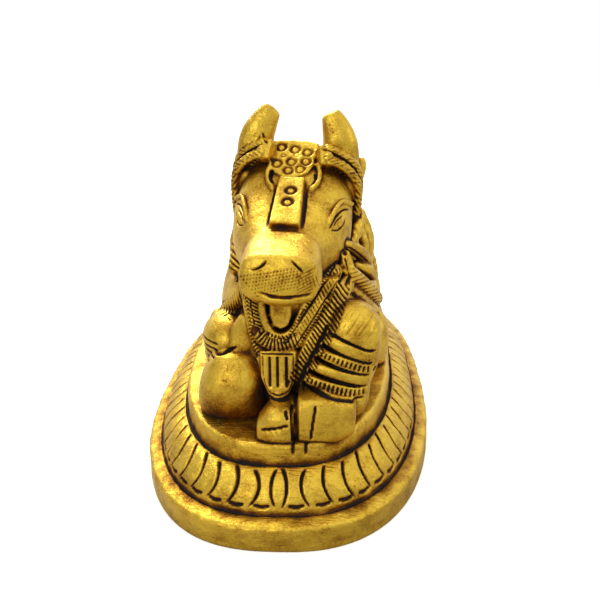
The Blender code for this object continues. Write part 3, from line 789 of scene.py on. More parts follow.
def add_harness(bm):
    """Plaits and swags down each shoulder, leaves and a drop at the left ear, and folds over the hump."""
    plait = [
        (-4.0, -25.0, 17.0),
        (-5.8, -22.0, 14.2),
        (-7.8, -17.8, 11.5),
        (-9.3, -12.0, 9.0),
        (-10.6, -3.0, 5.8),
        (-10.6, 3.0, 4.0),
    ]
    cord(bm, plait, 1.1, gap=0.25, relief=twisted(1.2, 3, 0.12))
    ear_rope = [(10.5, -12.4, 23.6), (9.9, -14.2, 21.6), (8.8, -16.2, 20.0)]
    cord(bm, ear_rope, 1.0, gap=0.25, relief=twisted(1.1, 2, 0.16))
    for lower in (2.3, 4.0):
        under_plait = [(x - 0.2, y + 1.5, z - lower) for x, y, z in plait[1:]]
        cord(bm, under_plait, 0.7, gap=0.25, relief=twisted(1.4, 2, 0.12))
    flap = [(-5.0, -13.4, 24.0, 1.6, 1.3), (-5.5, -15.0, 20.5, 1.8, 1.4), (-5.9, -17.0, 17.2, 1.9, 1.4)]
    sweep(bm, flap, up=(0, -1, 0), gap=0.3)
    swag = [
        (8.8, -21.4, 18.2),
        (11.0, -18.2, 15.3),
        (12.9, -13.6, 12.0),
        (13.6, -7.0, 9.0),
        (13.6, 0.0, 6.6),
        (13.2, 5.0, 5.0),
    ]
    cord(bm, swag, 0.95, gap=0.25)
    for lower in (2.1, 3.8):
        under_swag = [(x - 0.1, y + 0.3, z - lower) for x, y, z in swag]
        cord(bm, under_swag, 0.62, gap=0.25, relief=twisted(1.4, 2, 0.12))
    upper_leaf = [
        (8.2, -19.8, 21.4, 0.9, 0.6), (9.9, -17.2, 19.8, 1.5, 0.8), (11.7, -14.0, 17.4, 0.8, 0.6)
    ]
    sweep(bm, upper_leaf, gap=0.3, cap=0.6)
    lower_leaf = [
        (9.8, -16.6, 17.6, 0.7, 0.6), (11.6, -14.6, 16.2, 1.1, 0.8), (12.8, -12.0, 14.2, 0.6, 0.5)
    ]
    sweep(bm, lower_leaf, gap=0.3, cap=0.5)
    drop = [
        (8.3, -21.0, 20.4, 0.7, 0.6),
        (8.7, -21.4, 18.4, 1.0, 0.8),
        (9.1, -21.2, 16.4, 0.6, 0.5),
        (9.2, -20.9, 15.2, 0.3, 0.3),
    ]
    sweep(bm, drop, up=(0, -1, 0), gap=0.3, cap=0.4)
    for k in range(5):
        y = -11.5 + 2.0 * k
        route = []
        for step in range(-4, 5):
            turn = math.radians(step * 26)
            shrink = math.sqrt(1 - ((y + 5.5) / 9.6) ** 2)
            route.append((1.9 + 10.6 * shrink * math.sin(turn), y, 16.6 + 10.6 * shrink * math.cos(turn)))
        cord(bm, route, 0.8, up=(0, 1, 0), gap=0.3, relief=twisted(1.6, 2, 0.08))


def add_hindquarters(bm):
    """The folded hind legs, their shanks along the flanks, the elbows, and the tail curled to the left."""
    for side in (-1, 1):
        x = 1.1 + side * 8.2
        ball(bm, (x, 19.5, 7.2), (5.2, 9.4, 8.4))
        ball(bm, (1.1 + side * 11.6, 9.5, 4.4), (2.7, 5.6, 5.2))
        shank = [
            (1.1 + side * 11.2, 24, 1.8, 1.9, 1.9),
            (1.1 + side * 12.4, 16, 1.6, 1.7, 1.7),
            (1.1 + side * 12.9, 9, 1.5, 1.6, 1.6),
            (1.1 + side * 13.0, 4, 1.4, 1.8, 1.6),
        ]
        sweep(bm, shank, cap=1.2)
        ball(bm, (1.2 + side * 12.2, -10.2, 3.6), (2.0, 3.0, 4.9))
    tail = [
        (1.1, 27.5, 14.0, 1.6, 1.6),
        (1.4, 31.4, 11.6, 1.4, 1.4),
        (3.2, 33.0, 8.4, 1.1, 1.1),
        (6.2, 31.4, 5.3, 0.9, 0.9),
        (9.0, 28.0, 3.2, 1.0, 1.0),
        (11.4, 24.6, 1.6, 1.5, 1.2),
    ]
    sweep(bm, tail, gap=0.4, cap=0.8)


def add_saddle_cloth(bm):
    """A cloth over the back between two twisted borders."""
    cloth = [(1.6, 3, 9.2, 12.5, 12.1), (1.5, 8, 8.7, 12.4, 11.8), (1.4, 13, 8.2, 12.2, 11.3)]
    sweep(bm, cloth, across=(0, -1, 0), gap=0.8, cap=0.05)
    for y, wide, high in ((3, 12.5, 12.2), (13.2, 12.1, 10.7)):
        route = []
        for step in range(-4, 5):
            turn = math.radians(step * 24)
            route.append((1.5 + wide * math.sin(turn), y, 8.8 + high * math.cos(turn)))
        cord(bm, route, 0.7, up=(0, 1, 0), gap=0.25, relief=twisted(1.3))


def cut_foot(bm):
    """Trims what would reach below the platform's skin."""
    everything = [*bm.verts, *bm.edges, *bm.faces]
    down = (0, 0, -1)
    bmesh.ops.bisect_plane(bm, geom=everything, plane_co=down, plane_no=down, clear_outer=True)
    bmesh.ops.holes_fill(bm, edges=[edge for edge in bm.edges if edge.is_boundary], sides=0)


bm = bmesh.new()
add_trunk(bm)
add_forelegs(bm)
add_arm_bands(bm)
add_chest_dress(bm)
add_harness(bm)
add_hindquarters(bm)
add_saddle_cloth(bm)
cut_foot(bm)
bmesh.ops.translate(bm, vec=(0, 0, PLATFORM_TOP), verts=bm.verts)
body_skin = chasing(fused(bm, "body", BODY_GRAIN, 2))


def chase_chest(skin):
    """Slits and border of the bell, ribs of the necklace, plaits and fringes."""
    for x in (-1.0, 0.05, 1.15):
        groove(skin, [(x, -29.5, 9.3), (x, -29.9, 5.6)], 0.17, 0.4)
    rim = [(-1.85, 9.6), (-1.75, 6.7), (-1.0, 4.75), (1.15, 4.75), (1.95, 6.7), (2.05, 9.6)]
    groove(skin, [(x, -29.7, z) for x, z in rim], 0.11, 0.12, dark=0.4)
    groove(skin, [(-1.9, -29.3, 9.75), (2.0, -29.3, 9.75)], 0.16, 0.25)
    groove(skin, [(-1.2, -29.6, 4.1), (1.4, -29.6, 4.1)], 0.2, 0.3)
    necklace = [(-2.6, -28.6, 12.2), (-1.4, -29.2, 11.3), (0.2, -29.4, 11.0), (2.7, -28.9, 11.6)]
    teeth(skin, necklace, 0.95, 0.46, 0.30, dark=0.5)
    braid = [(-3.4, -27.8, 18.4), (-3.0, -28.4, 15.0), (-2.5, -28.6, 12.8)]
    teeth(skin, braid, 0.8, 0.5, 0.25, slant=0.8)
    groove(skin, [(-3.4, -27.8, 18.4), (-3.0, -28.4, 15.0), (-2.6, -28.6, 12.6)], 0.14, 0.2, dark=0.7)
    strap = [(1.7, -29.0, 10.8), (3.5, -28.4, 13.6), (5.5, -27.2, 16.6), (7.6, -24.4, 19.2)]
    for shift in (-0.62, 0.62):
        groove(skin, [(x + shift * 0.85, y, z - shift * 0.55) for x, y, z in strap], 0.14, 0.25, dark=0.9)
    teeth(skin, strap, 0.5, 0.5, 0.10, slant=0.6, dark=0.3)
    for shift in (-0.95, 0.95):
        teeth(skin, [(x + shift * 0.85, y, z - shift * 0.55) for x, y, z in strap], 0.26, 0.4, 0.2)
    fringe = [
        (2.4, -28.8, 5.6), (4.2, -28.6, 9.4), (5.9, -28.0, 12.6), (7.2, -25.7, 15.4), (8.2, -23.0, 16.9)
    ]
    teeth(skin, fringe, 1.3, 0.55, 0.26, slant=0.5, dark=0.42)
    under_fringe = [(2.0, -29.2, 4.3), (3.5, -28.8, 7.7), (5.0, -28.3, 10.6), (6.2, -27.7, 12.9)]
    groove(skin, under_fringe, 0.24, 0.6)
    flap = [(-5.4, -15.4, 24.0), (-6.2, -17.2, 20.5), (-6.6, -19.2, 17.2)]
    teeth(skin, flap, 1.5, 0.75, 0.20, slant=0.5, dark=0.25)
    plait = [(-4.2, -26.2, 17.2), (-6.2, -23.2, 14.4), (-8.2, -18.8, 11.8), (-9.8, -13.0, 9.4)]
    teeth(skin, plait, 1.0, 0.6, 0.2, slant=0.8, dark=0.25)
    teeth(skin, [(x, y + 1.4, z - 2.3) for x, y, z in plait[1:]], 0.7, 0.6, 0.15, slant=-0.6, dark=0.25)
    swag = [(8.8, -22.3, 18.4), (11.2, -19.0, 15.5), (13.3, -14.4, 12.2), (14.2, -8.0, 9.2)]
    teeth(skin, swag, 0.9, 0.7, 0.14, slant=0.7, dark=0.12)
    leaf = [(8.6, -20.6, 21.2), (9.9, -18.2, 19.8), (11.7, -14.8, 17.4)]
    groove(skin, leaf, 0.16, 0.18, taper=0.5, dark=0.45)
    drop = [(8.3, -21.8, 20.2), (8.8, -22.2, 18.2), (9.1, -22.0, 16.2)]
    groove(skin, drop, 0.14, 0.16, taper=0.5, dark=0.5)
    ring_punch(skin, (8.4, -21.6, 20.6), 0.12, FROM_FRONT, half=0.3, depth=0.3, dark=0.7)
    for k in range(3):
        bib_edge = [(-2.3 - 0.2 * k, -28.0, 9.9 - 1.2 * k), (-3.3, -27.6, 10.8 - 1.2 * k)]
        groove(skin, bib_edge, 0.12, 0.2, taper=0.3, dark=0.6)
    beside_braid = [(-3.9, -27.2, 17.0), (-3.4, -27.6, 12.0), (-2.8, -28.0, 9.0)]
    teeth(skin, beside_braid, 0.45, 0.5, 0.2, slant=-0.6, dark=0.4)
    round_tongue = [(-1.0, -28.9, 12.3), (0.6, -29.1, 12.0), (2.2, -28.9, 12.7), (3.4, -28.2, 15.4)]
    teeth(skin, round_tongue, 0.3, 0.45, 0.15)


def soft_tone_patch(skin, centre, radius, share):
    """A soft patch round a place, darker for a positive share and lighter for a negative one. It paints shade
    round the right knee and highlights on the horns' fronts, and darkens patches on the chest dress and the
    nose strap.
    """
    away = np.linalg.norm(skin["points"] - np.array(centre) - (0, 0, PLATFORM_TOP), axis=1)
    skin["darkening"] = skin["darkening"] + share * np.clip(1 - away / radius, 0, 1)


def chase_forelegs(skin):
    """Cuts of the shank and hoof, beads of two arm bands, file marks on the shoulder, and patches of painted
    shade round the knee.
    """
    groove(skin, [(1.95, -33.0, 4.4), (2.1, -33.6, 0.2)], 0.20, 0.5)
    groove(skin, [(4.9, -33.0, 4.9), (4.2, -33.5, 0.2)], 0.2, 0.4, taper=0.5)
    groove(skin, [(-1.9, -34.0, 1.7), (0.0, -34.3, 2.1), (1.7, -33.9, 2.4)], 0.2, 0.45, taper=0.5)
    groove(skin, [(1.2, -33.5, 4.2), (1.5, -33.8, 3.0)], 0.2, 0.35, taper=0.3)
    # Painted shade: soft darker patches low at the front and outside of the right knee and in the fold above
    # it. A weaker darker patch lies on the chest dress.
    soft_tone_patch(skin, (-4.6, -29.6, 1.0), 5.5, 0.40)
    soft_tone_patch(skin, (-9.0, -28.0, 0.5), 4.0, 0.25)
    soft_tone_patch(skin, (-9.4, -23.5, 10.5), 4.5, 0.15)
    soft_tone_patch(skin, (0.0, -29.0, 11.5), 5.0, 0.12)
    for k in (0, 2):
        teeth(skin, arm_band(k, 0.6), 0.5, 0.56, 0.26, dark=0.45)
    for k in range(5):
        groove(skin, arm_band(k - 0.5, 0.4), 0.19, 0.45, taper=0.8, dark=0.85)
    for k in range(12):
        x = 6.9 + 0.5 * k
        z = 15.4 - 0.12 * k + 0.5 * math.sin(k * 2.3)
        groove(skin, [(x + 0.7, -27.4, z), (x - 1.1, -29.4, z - 2.2)], 0.10, 0.04, taper=0.7, dark=0.16)
    for k in range(5):
        z = 9.2 - 0.85 * k
        fold = [(-8.0, -25.2, z), (-9.8, -24.0, z + 0.2), (-11.0, -20.0, z - 0.2)]
        groove(skin, fold, 0.16, 0.25, taper=0.5, dark=0.8)
    over_knee = [(-8.8, -25.5, 8.2), (-7.2, -26.6, 8.6), (-5.4, -27.0, 9.6)]
    groove(skin, over_knee, 0.22, 0.35, taper=0.8, dark=0.7)


def chase_cloth(skin):
    """Light lines across the saddle cloth, ten degrees apart round the back."""
    for k in range(-8, 9):
        turn = math.radians(10 * k)
        x = 1.5 + 12.3 * math.sin(turn)
        z = 8.6 + 11.8 * math.cos(turn)
        inward = (-math.sin(turn), 0, -math.cos(turn))
        groove(skin, [(x, 4.2, z), (x, 12.0, z - 0.7)], 0.13, 0.10, look=inward, taper=0.3, dark=0.3)


chase_cloth(body_skin)
chase_chest(body_skin)
chase_forelegs(body_skin)
body_mesh = thinned(chased(body_skin, BODY_GRAIN), "body_skin", BODY_TRIANGLES)
chased_brass = antique_brass("chased_cast_brass")
finished(body_mesh, "bull_body", chased_brass)


# The head: cast with the body, turned and tipped a little as the modeller left it. Horns, ears, twin twisted
# halter ropes with their tabs, a ring-punched brow plaque and a nose strap stand proud of a smooth skull.

HEAD_GRAIN = 0.135
HEAD_TRIANGLES = 196000
HEAD_TURN = -3.5
HEAD_ROLL = 2.5
HEAD_PLACE = (
    Matrix.Translation((2.0, -12.0, 33.2))
    @ Matrix.Rotation(math.radians(HEAD_TURN), 4, "Z")
    @ Matrix.Rotation(math.radians(HEAD_ROLL), 4, "Y")
)
BROW_SLOPE = 42
NOSE_SLOPE = 31
ROPE_STEPS = ((0.0, 0.0), (1.2, 1.1))


def sloping(origin, degrees):
    """Placement of a plane on the middle of the face that leans back by degrees."""
    lean = math.radians(degrees)
    return facing(origin, (0, -math.sin(lean), math.cos(lean)), (0, math.cos(lean), math.sin(lean)))


PLAQUE_PLACE = sloping((-0.45, -2.95, -1.35), BROW_SLOPE)
STRAP_PLACE = sloping((0.0, -9.5, -5.7), NOSE_SLOPE)


def add_skull(bm):
    """The skull down to the muzzle, the lower lip, the brow lids, the eyes and the stubs of the ears."""
    skull = [
        (0, 3.4, -7.0, 6.0, 6.2),
        (0, 0.5, -7.9, 7.6, 7.6),
        (0, -3.0, -9.3, 8.0, 7.1),
        (0, -6.0, -10.7, 7.9, 6.0),
        (0, -9.0, -11.9, 7.0, 5.1),
        (0, -11.5, -12.5, 5.6, 4.2),
        (0.1, -13.2, -12.6, 4.8, 3.7),
        (0.2, -15.0, -12.7, 4.8, 3.4),
        (0.4, -17.5, -13.0, 4.9, 3.2),
        (0.4, -19.2, -13.2, 4.7, 2.9),
    ]
    sweep(bm, skull, across=(0, -1, 0), squareness=2.5, gap=0.5, cap=1.3)
    muzzle = [(0.2, -13.4, -12.5, 4.7, 3.7), (0.3, -16.4, -12.8, 4.8, 3.4), (0.4, -19.3, -13.1, 4.6, 3.0)]
    sweep(bm, muzzle, across=(0, -1, 0), squareness=3.2, gap=0.4, cap=0.9)
    ball(bm, (0.6, -17.4, -15.2), (3.4, 3.2, 1.5))
    for side in (-1, 1):
        brow = [
            (side * 5.3, -9.6, -8.6),
            (side * 5.9, -8.0, -7.1),
            (side * 6.7, -5.9, -6.2),
            (side * 7.9, -4.2, -6.9),
        ]
        cord(bm, brow, 0.30)
        ball(bm, (side * 6.2, -7.0, -8.5), (0.7, 1.8, 0.9), turn=(BROW_SLOPE, 0, side * 24))
        ball(bm, (0.05 + side * 8.4, 1.9, -3.6), (0.9, 0.9, 2.2), turn=(0, side * 12, 0))


def halter_rope(side, lift, reach):
    """The route of one rope of a pair: the upper one is lifted and lies further back."""
    drop = 0.25 * side
    return [
        (side * 4.4, -3.8 + reach, -0.9 + lift - drop),
        (side * 6.6, -3.1 + reach, -2.0 + lift - drop),
        (side * 8.1, -2.1 + reach, -3.6 + lift - drop),
        (side * 8.6, -1.4 + reach, -5.4 + lift - drop),
        (side * 8.6, -1.0 + reach, -7.6 + lift),
        (side * 8.4, -0.7 + reach, -10.0 + lift),
        (side * 7.7, -0.4 + reach, -12.6 + lift),
    ]


def add_halter(bm):
    """Twin twisted ropes from the brow plaque round the head, each tied in at the plaque by two wraps."""
    for side in (-1, 1):
        for lift, reach in ROPE_STEPS:
            cord(bm, halter_rope(side, lift, reach), 0.64, gap=0.18, relief=twisted(0.9, 2, 0.12))
        lining = [(x - side * 0.5, y + 1.0, z - 0.1) for x, y, z in halter_rope(side, *ROPE_STEPS[1])[1:]]
        cord(bm, lining, 1.1, gap=0.4)
        brow = [(x - side * 1.3, y + 1.3, z - 1.0) for x, y, z in halter_rope(side, *ROPE_STEPS[0])[2:6]]
        cord(bm, brow, 1.5, gap=0.4)
        for out in (3.8, 4.75):
            wrap = [(-0.42, -1.35), (0.42, -1.35), (0.42, 1.35), (-0.42, 1.35)]
            origin = (side * out, -3.75, -0.35 - 0.25 * side)
            place = facing(origin, (side * 0.4, -0.8, 0.5), (side * -0.15, 0.5, 0.8))
            plate(bm, wrap, 1.8, place, edge=0.22)


def add_brow_plaque(bm):
    """The shield on the brow, the strap down the nose and the curl between them on each side."""
    half = [
        (0.0, 3.3), (2.0, 3.2), (3.4, 2.8), (3.6, 1.2), (3.0, 0.4), (3.1, -0.8), (2.3, -2.3), (1.0, -3.1)
    ]
    plaque = half + [(0.0, -3.2)] + [(-u, v) for u, v in reversed(half[1:])]
    plate(bm, plaque, 2.4, PLAQUE_PLACE, edge=0.3)
    strap = [(-1.75, 4.6), (1.65, 4.6), (1.95, -4.1), (-1.85, -4.1)]
    plate(bm, strap, 2.2, STRAP_PLACE, edge=0.2)
    for side in (-1, 1):
        curl = [
            (side * 3.1, -3.4, -2.1),
            (side * 3.5, -4.4, -3.1),
            (side * 3.2, -5.4, -4.2),
            (side * 2.5, -6.2, -4.9),
        ]
        cord(bm, curl, 0.34)


def add_horn(bm, base, tip, bend, wide):
    """A horn, flattened front to back, that bends sideways at its middle."""
    middle = (Vector(base) + Vector(tip)) / 2 + Vector((bend, -0.6, 0.2))
    stations = [
        (*base, wide, 2.5),
        (*middle, wide * 0.86, 2.0),
        (*(middle.lerp(Vector(tip), 0.62) + Vector((bend * 0.25, 0, 0))), wide * 0.68, 1.5),
        (*tip, wide * 0.48, 0.95),
    ]
    sweep(bm, stations, up=(0, -1, 0), squareness=2.4, gap=0.5, cap=0.5)


bm = bmesh.new()
add_skull(bm)
add_halter(bm)
add_brow_plaque(bm)
bmesh.ops.transform(bm, matrix=HEAD_PLACE, verts=bm.verts)
add_horn(bm, (-4.2, -10.4, 29.5), (-1.5, -12.3, 37.85), -0.9, 2.8)
add_horn(bm, (7.8, -10.4, 28.8), (6.5, -12.3, 37.1), 0.6, 2.8)
bmesh.ops.translate(bm, vec=(0, 0, PLATFORM_TOP), verts=bm.verts)
head_skin = chasing(fused(bm, "head", HEAD_GRAIN, 2))


def on_head(points):
    """Points of the head's own frame, turned and tipped with it."""
    return [HEAD_PLACE @ Vector(point) for point in points]


def head_look(look):
    """A direction of the head's own frame, turned and tipped with it."""
    return HEAD_PLACE.to_3x3() @ Vector(look)


def chase_plaque(skin):
    """Ring punches on the brow plaque and the nose strap, and the lines at their edges."""
    plaque = HEAD_PLACE @ PLAQUE_PLACE
    at_plaque = head_look(-PLAQUE_PLACE.col[2].xyz)
    rings = [
        (-1.65, 1.9),
        (0.25, 1.6),
        (1.95, 1.2),
        (-1.95, -0.9),
        (-0.05, -0.55),
        (1.9, -0.4),
        (-0.3, -2.0),
        (1.25, -1.7),
    ]
    for u, v in rings:
        ring_punch(skin, plaque @ Vector((u, v, 0)), 0.56, at_plaque, half=0.34, depth=0.26, dark=0.12)
    for u, v in ((-1.2, 0.45), (0.5, 0.5)):
        ring_punch(skin, plaque @ Vector((u, v, 0)), 0.26, at_plaque, depth=0.12, dark=0.05)
    strap = HEAD_PLACE @ STRAP_PLACE
    at_strap = head_look(-STRAP_PLACE.col[2].xyz)
    for u, v in ((0.1, 1.9), (-0.05, -0.3)):
        ring_punch(skin, strap @ Vector((u, v, 0)), 0.60, at_strap, half=0.36, depth=0.28, dark=0.14)
    soft_tone_patch(skin, strap @ Vector((0, 0.5, 0)), 5.5, 0.14)
    for u in (-2.25, 2.2):
        edge = [strap @ Vector((u * 0.93, 3.4, -0.6)), strap @ Vector((u, -3.9, -0.6))]
        groove(skin, edge, 0.22, 0.25, look=at_strap, taper=2.0, dark=0.75)
    for side in (-1, 1):
        inside = [(side * 2.8, -4.2, -2.9), (side * 3.0, -4.9, -3.7), (side * 2.6, -5.7, -4.4)]
        groove(skin, on_head(inside), 0.24, 0.2, look=head_look((0, 0.8, -0.6)), taper=0.3, dark=0.8)


def chase_face(skin):
    """Eyes, nostrils, mouth, and the muzzle's rows of short cuts."""
    ahead = head_look((0, 1, -0.25))
    for side in (-1, 1):
        sideways = head_look((-side * 0.8, 0.8, -0.3))
        upper = [
            (side * 5.4, -10.0, -9.0),
            (side * 6.1, -8.3, -7.9),
            (side * 6.9, -6.4, -7.3),
            (side * 7.7, -4.9, -7.5),
        ]
        groove(skin, on_head(upper), 0.16, 0.26, look=sideways, taper=0.9, dark=0.4)
        inner = [(side * 5.7, -9.3, -8.9), (side * 6.3, -7.9, -8.2), (side * 6.9, -6.6, -7.9)]
        groove(skin, on_head(inner), 0.12, 0.14, look=sideways, taper=0.6, dark=0.22)
        lower = [
            (side * 5.5, -10.0, -9.2),
            (side * 6.4, -8.9, -9.4),
            (side * 7.0, -7.6, -8.9),
            (side * 7.4, -6.4, -8.2),
        ]
        groove(skin, on_head(lower), 0.14, 0.2, look=sideways, taper=0.9, dark=0.3)
    nostrils = (
        [(-0.9, -19.9, -10.6), (-1.4, -20.1, -11.3), (-2.3, -20.1, -11.8), (-2.9, -20.0, -11.8)],
        [(1.8, -19.7, -10.5), (2.4, -20.0, -11.0), (3.1, -20.1, -11.6), (3.6, -20.0, -12.0)],
    )
    for nostril in nostrils:
        groove(skin, on_head(nostril), 0.17, 0.3, look=ahead, taper=0.8, dark=0.35)
    mouth = [
        (-2.0, -20.0, -14.5),
        (-0.4, -20.3, -14.8),
        (1.7, -20.3, -14.85),
        (3.6, -20.1, -14.6),
        (4.5, -19.6, -14.3),
    ]
    groove(skin, on_head(mouth), 0.24, 0.35, look=ahead, taper=0.8, dark=0.3)
    for k in range(7):
        z = -12.2 - 0.38 * k
        row = [(-3.9 + 0.35 * k, -20.0, z - 0.55), (-0.3, -20.3, z + 0.2), (2.9, -20.2, z + 1.0)]
        teeth(skin, on_head(row), 0.17, 0.40, 0.10, slant=0.5, look=ahead, dark=0.24)
    for k in range(7):
        z = -11.9 - 0.40 * k
        rising = on_head([(2.4, -20.2, z - 0.6), (4.7, -19.8, z + 0.7)])
        groove(skin, rising, 0.10, 0.08, look=ahead, taper=0.4, dark=0.2)
    for k in range(6):
        x = 2.6 + 0.42 * k
        crossing = on_head([(x, -20.1, -12.0), (x + 0.5, -20.0, -13.6)])
        groove(skin, crossing, 0.10, 0.08, look=ahead, taper=0.3, dark=0.2)


def chase_horns(skin):
    """The scar where the right horn's front was trimmed, the edge of each flat face, and a painted highlight
    on each front.
    """
    scar = [(-2.7, -14.2, 35.3), (-2.4, -14.2, 34.4), (-1.9, -14.2, 33.5)]
    groove(skin, scar, 0.2, 0.2, taper=0.3, dark=0.5)
    right_edge = [(-5.0, -13.2, 33.2), (-3.8, -14.2, 33.8), (-2.7, -14.2, 35.0)]
    left_edge = [(4.8, -13.6, 32.9), (6.4, -14.4, 32.5), (8.6, -14.0, 32.3)]
    for edge in (right_edge, left_edge):
        groove(skin, edge, 0.16, 0.12, taper=0.5, dark=0.3)
    # Painted highlight: a soft patch on each horn's front is made lighter.
    for centre in ((-3.2, -14.0, 34.5), (6.9, -14.0, 34.0)):
        soft_tone_patch(skin, centre, 5.0, -0.3)


def chase_halter(skin):
    """The lay of the ropes, and the line between them."""
    for side in (-1, 1):
        # Each rope turns a corner, so it is cut from the front and from its own side.
        for look in ((0, 0.8, -0.6), (-side * 0.8, 0.8, -0.2)):
            for lift, reach in ROPE_STEPS:
                rope = on_head(halter_rope(side, lift, reach))
                teeth(skin, rope, 0.55, 0.62, 0.12, slant=0.9 * side, look=head_look(look), dark=0.28)
            between = [(x, y + 0.3, z) for x, y, z in halter_rope(side, 0.6, 0.55)]
            groove(skin, on_head(between), 0.16, 0.15, look=head_look(look), dark=0.7)


chase_plaque(head_skin)
chase_face(head_skin)
chase_halter(head_skin)
chase_horns(head_skin)
head_mesh = thinned(chased(head_skin, HEAD_GRAIN), "head_skin", HEAD_TRIANGLES)
finished(head_mesh, "bull_head", chased_brass)


# Patina: a black-brown wash is brushed over the whole casting and wiped off the high places, so that it stays
# where forms meet and in every cut. It deepens the recess value that each mesh carries for its brass.

WASH_SHARES = (0.50, 1.0, 1.0)
CONTACT_WASH = 0.7


def sheltered(meshes, reach=9.0, rays=7):
    """For each mesh, how far each point is shut in by the casting, from 0 in the open to 1."""
    corners = []
    faces = []
    for mesh in meshes:
        faces += [
            [len(corners) + i for i in face.vertices] for face in mesh.polygons if len(face.vertices) < 5
        ]
        corners += [vert.co.copy() for vert in mesh.vertices]
    tree = BVHTree.FromPolygons(corners, faces)
    golden = math.pi * (3 - math.sqrt(5))
    spread = [(math.sqrt((k + 0.5) / rays), golden * k) for k in range(rays)]
    shut = []
    for mesh in meshes:
        normals = normals_of(mesh)
        side = np.cross(normals, (0.31, 0.77, 0.55))
        side /= np.linalg.norm(side, axis=1)[:, None]
        over = np.cross(normals, side)
        start = points_of(mesh) * MM + normals * 0.0001
        hidden = np.zeros(len(start))
        for lean, turn in spread:
            turns = turn + 2.4 * np.arange(len(start))
            aside = side * np.cos(turns)[:, None] + over * np.sin(turns)[:, None]
            way = aside * lean + normals * math.sqrt(1 - lean * lean)
            for i, (origin, direction) in enumerate(zip(start.tolist(), way.tolist())):
                distance = tree.ray_cast(origin, direction, reach * MM)[3]
                if distance is not None:
                    hidden[i] += 1 - distance / MM / reach
        level = np.repeat(hidden[:, None] / rays, 3, axis=1)
        shut.append(relaxed(mesh, level, 6)[:, 0])
    return shut


def meeting(mesh, others, reach=0.45):
    """How close each point lies to the other skins, 1 where they meet and 0 at the reach."""
    near = np.zeros(len(mesh.vertices))
    for other in others:
        corners = [vert.co.copy() for vert in other.vertices]
        tree = BVHTree.FromPolygons(corners, [list(face.vertices) for face in other.polygons])
        for i, vert in enumerate(mesh.vertices):
            distance = tree.find_nearest(vert.co, reach * MM)[3]
            if distance is not None:
                near[i] = max(near[i], 1 - distance / MM / reach)
    return near


def settle_wash(mesh, shut, share):
    """Adds the sheltered places to the recess value that the mesh carries."""
    wash_and_painted_light = np.zeros(len(mesh.vertices), np.float32)
    mesh.attributes["wash_and_painted_light"].data.foreach_get("value", wash_and_painted_light)
    wash_and_painted_light = np.clip(wash_and_painted_light + share * shut**1.4, 0, 1)
    mesh.attributes["wash_and_painted_light"].data.foreach_set("value", wash_and_painted_light.astype(np.float32))
    mesh.update()


cast_meshes = [plinth_mesh, body_mesh, head_mesh]
for mesh, shut, share in zip(cast_meshes, sheltered(cast_meshes), WASH_SHARES):
    others = [other for other in cast_meshes if other != mesh]
    settle_wash(mesh, shut + CONTACT_WASH * meeting(mesh, others), share)


# The photographer's table: a sheet of white paper in a bright room, a soft key light above and behind the
# idol, and two weaker lights, one in front and one at its left side.

# The camera's focus and the plinth's centre are in pixels of a square picture. The camera's reach counts in
# half-widths of the plinth.
PICTURE_WIDTH = 600
CAMERA_FOCUS = 609.5
PLINTH_IN_PICTURE = (295.55, 388.75)
CAMERA_REACH = 5.0
HALF_WIDTH = PLINTH_WIDTH / 2 * MM
CAMERA_RISE = math.radians(19.98)
CAMERA_SIDE = math.radians(3.67)
CAMERA_TILT = math.radians(-1.01)
SENSOR_WIDTH = 36
MIDDLE_OF_BULL = Vector((0, 0, 0.02))
PAPER_WHITE = "#FBFBFB"
PAPER_IN_BRASS = "#B6B2AB"


def place_camera():
    """The camera stands close in front, a little to the left of the bull and above it."""
    back = Vector(
        (
            math.sin(CAMERA_SIDE) * math.cos(CAMERA_RISE),
            -math.cos(CAMERA_SIDE) * math.cos(CAMERA_RISE),
            math.sin(CAMERA_RISE),
        )
    )
    level = Vector((math.cos(CAMERA_SIDE), math.sin(CAMERA_SIDE), 0))
    upright = level.cross(-back)
    right = level * math.cos(CAMERA_TILT) + upright * math.sin(CAMERA_TILT)
    up = -level * math.sin(CAMERA_TILT) + upright * math.cos(CAMERA_TILT)
    x = (PLINTH_IN_PICTURE[0] - PICTURE_WIDTH / 2) / CAMERA_FOCUS * CAMERA_REACH
    y = -(PLINTH_IN_PICTURE[1] - PICTURE_WIDTH / 2) / CAMERA_FOCUS * CAMERA_REACH
    spot = -(right * x + up * y - back * CAMERA_REACH) * HALF_WIDTH
    camera = bpy.data.objects.new("camera", bpy.data.cameras.new("camera"))
    camera.matrix_world = Matrix.Translation(spot) @ Matrix((right, up, back)).transposed().to_4x4()
    camera.data.lens = CAMERA_FOCUS * SENSOR_WIDTH / PICTURE_WIDTH
    camera.data.sensor_width = SENSOR_WIDTH
    camera.data.clip_start = 0.001
    bpy.context.scene.collection.objects.link(camera)
    bpy.context.scene.camera = camera


def add_light(name, place, size, power):
    """A round soft light that looks at the middle of the bull."""
    lamp = bpy.data.lights.new(name, "AREA")
    lamp.shape = "DISK"
    lamp.size = size
    lamp.energy = power
    light = bpy.data.objects.new(name, lamp)
    light.location = place
    light.rotation_euler = (MIDDLE_OF_BULL - Vector(place)).to_track_quat("-Z", "Y").to_euler()
    bpy.context.scene.collection.objects.link(light)


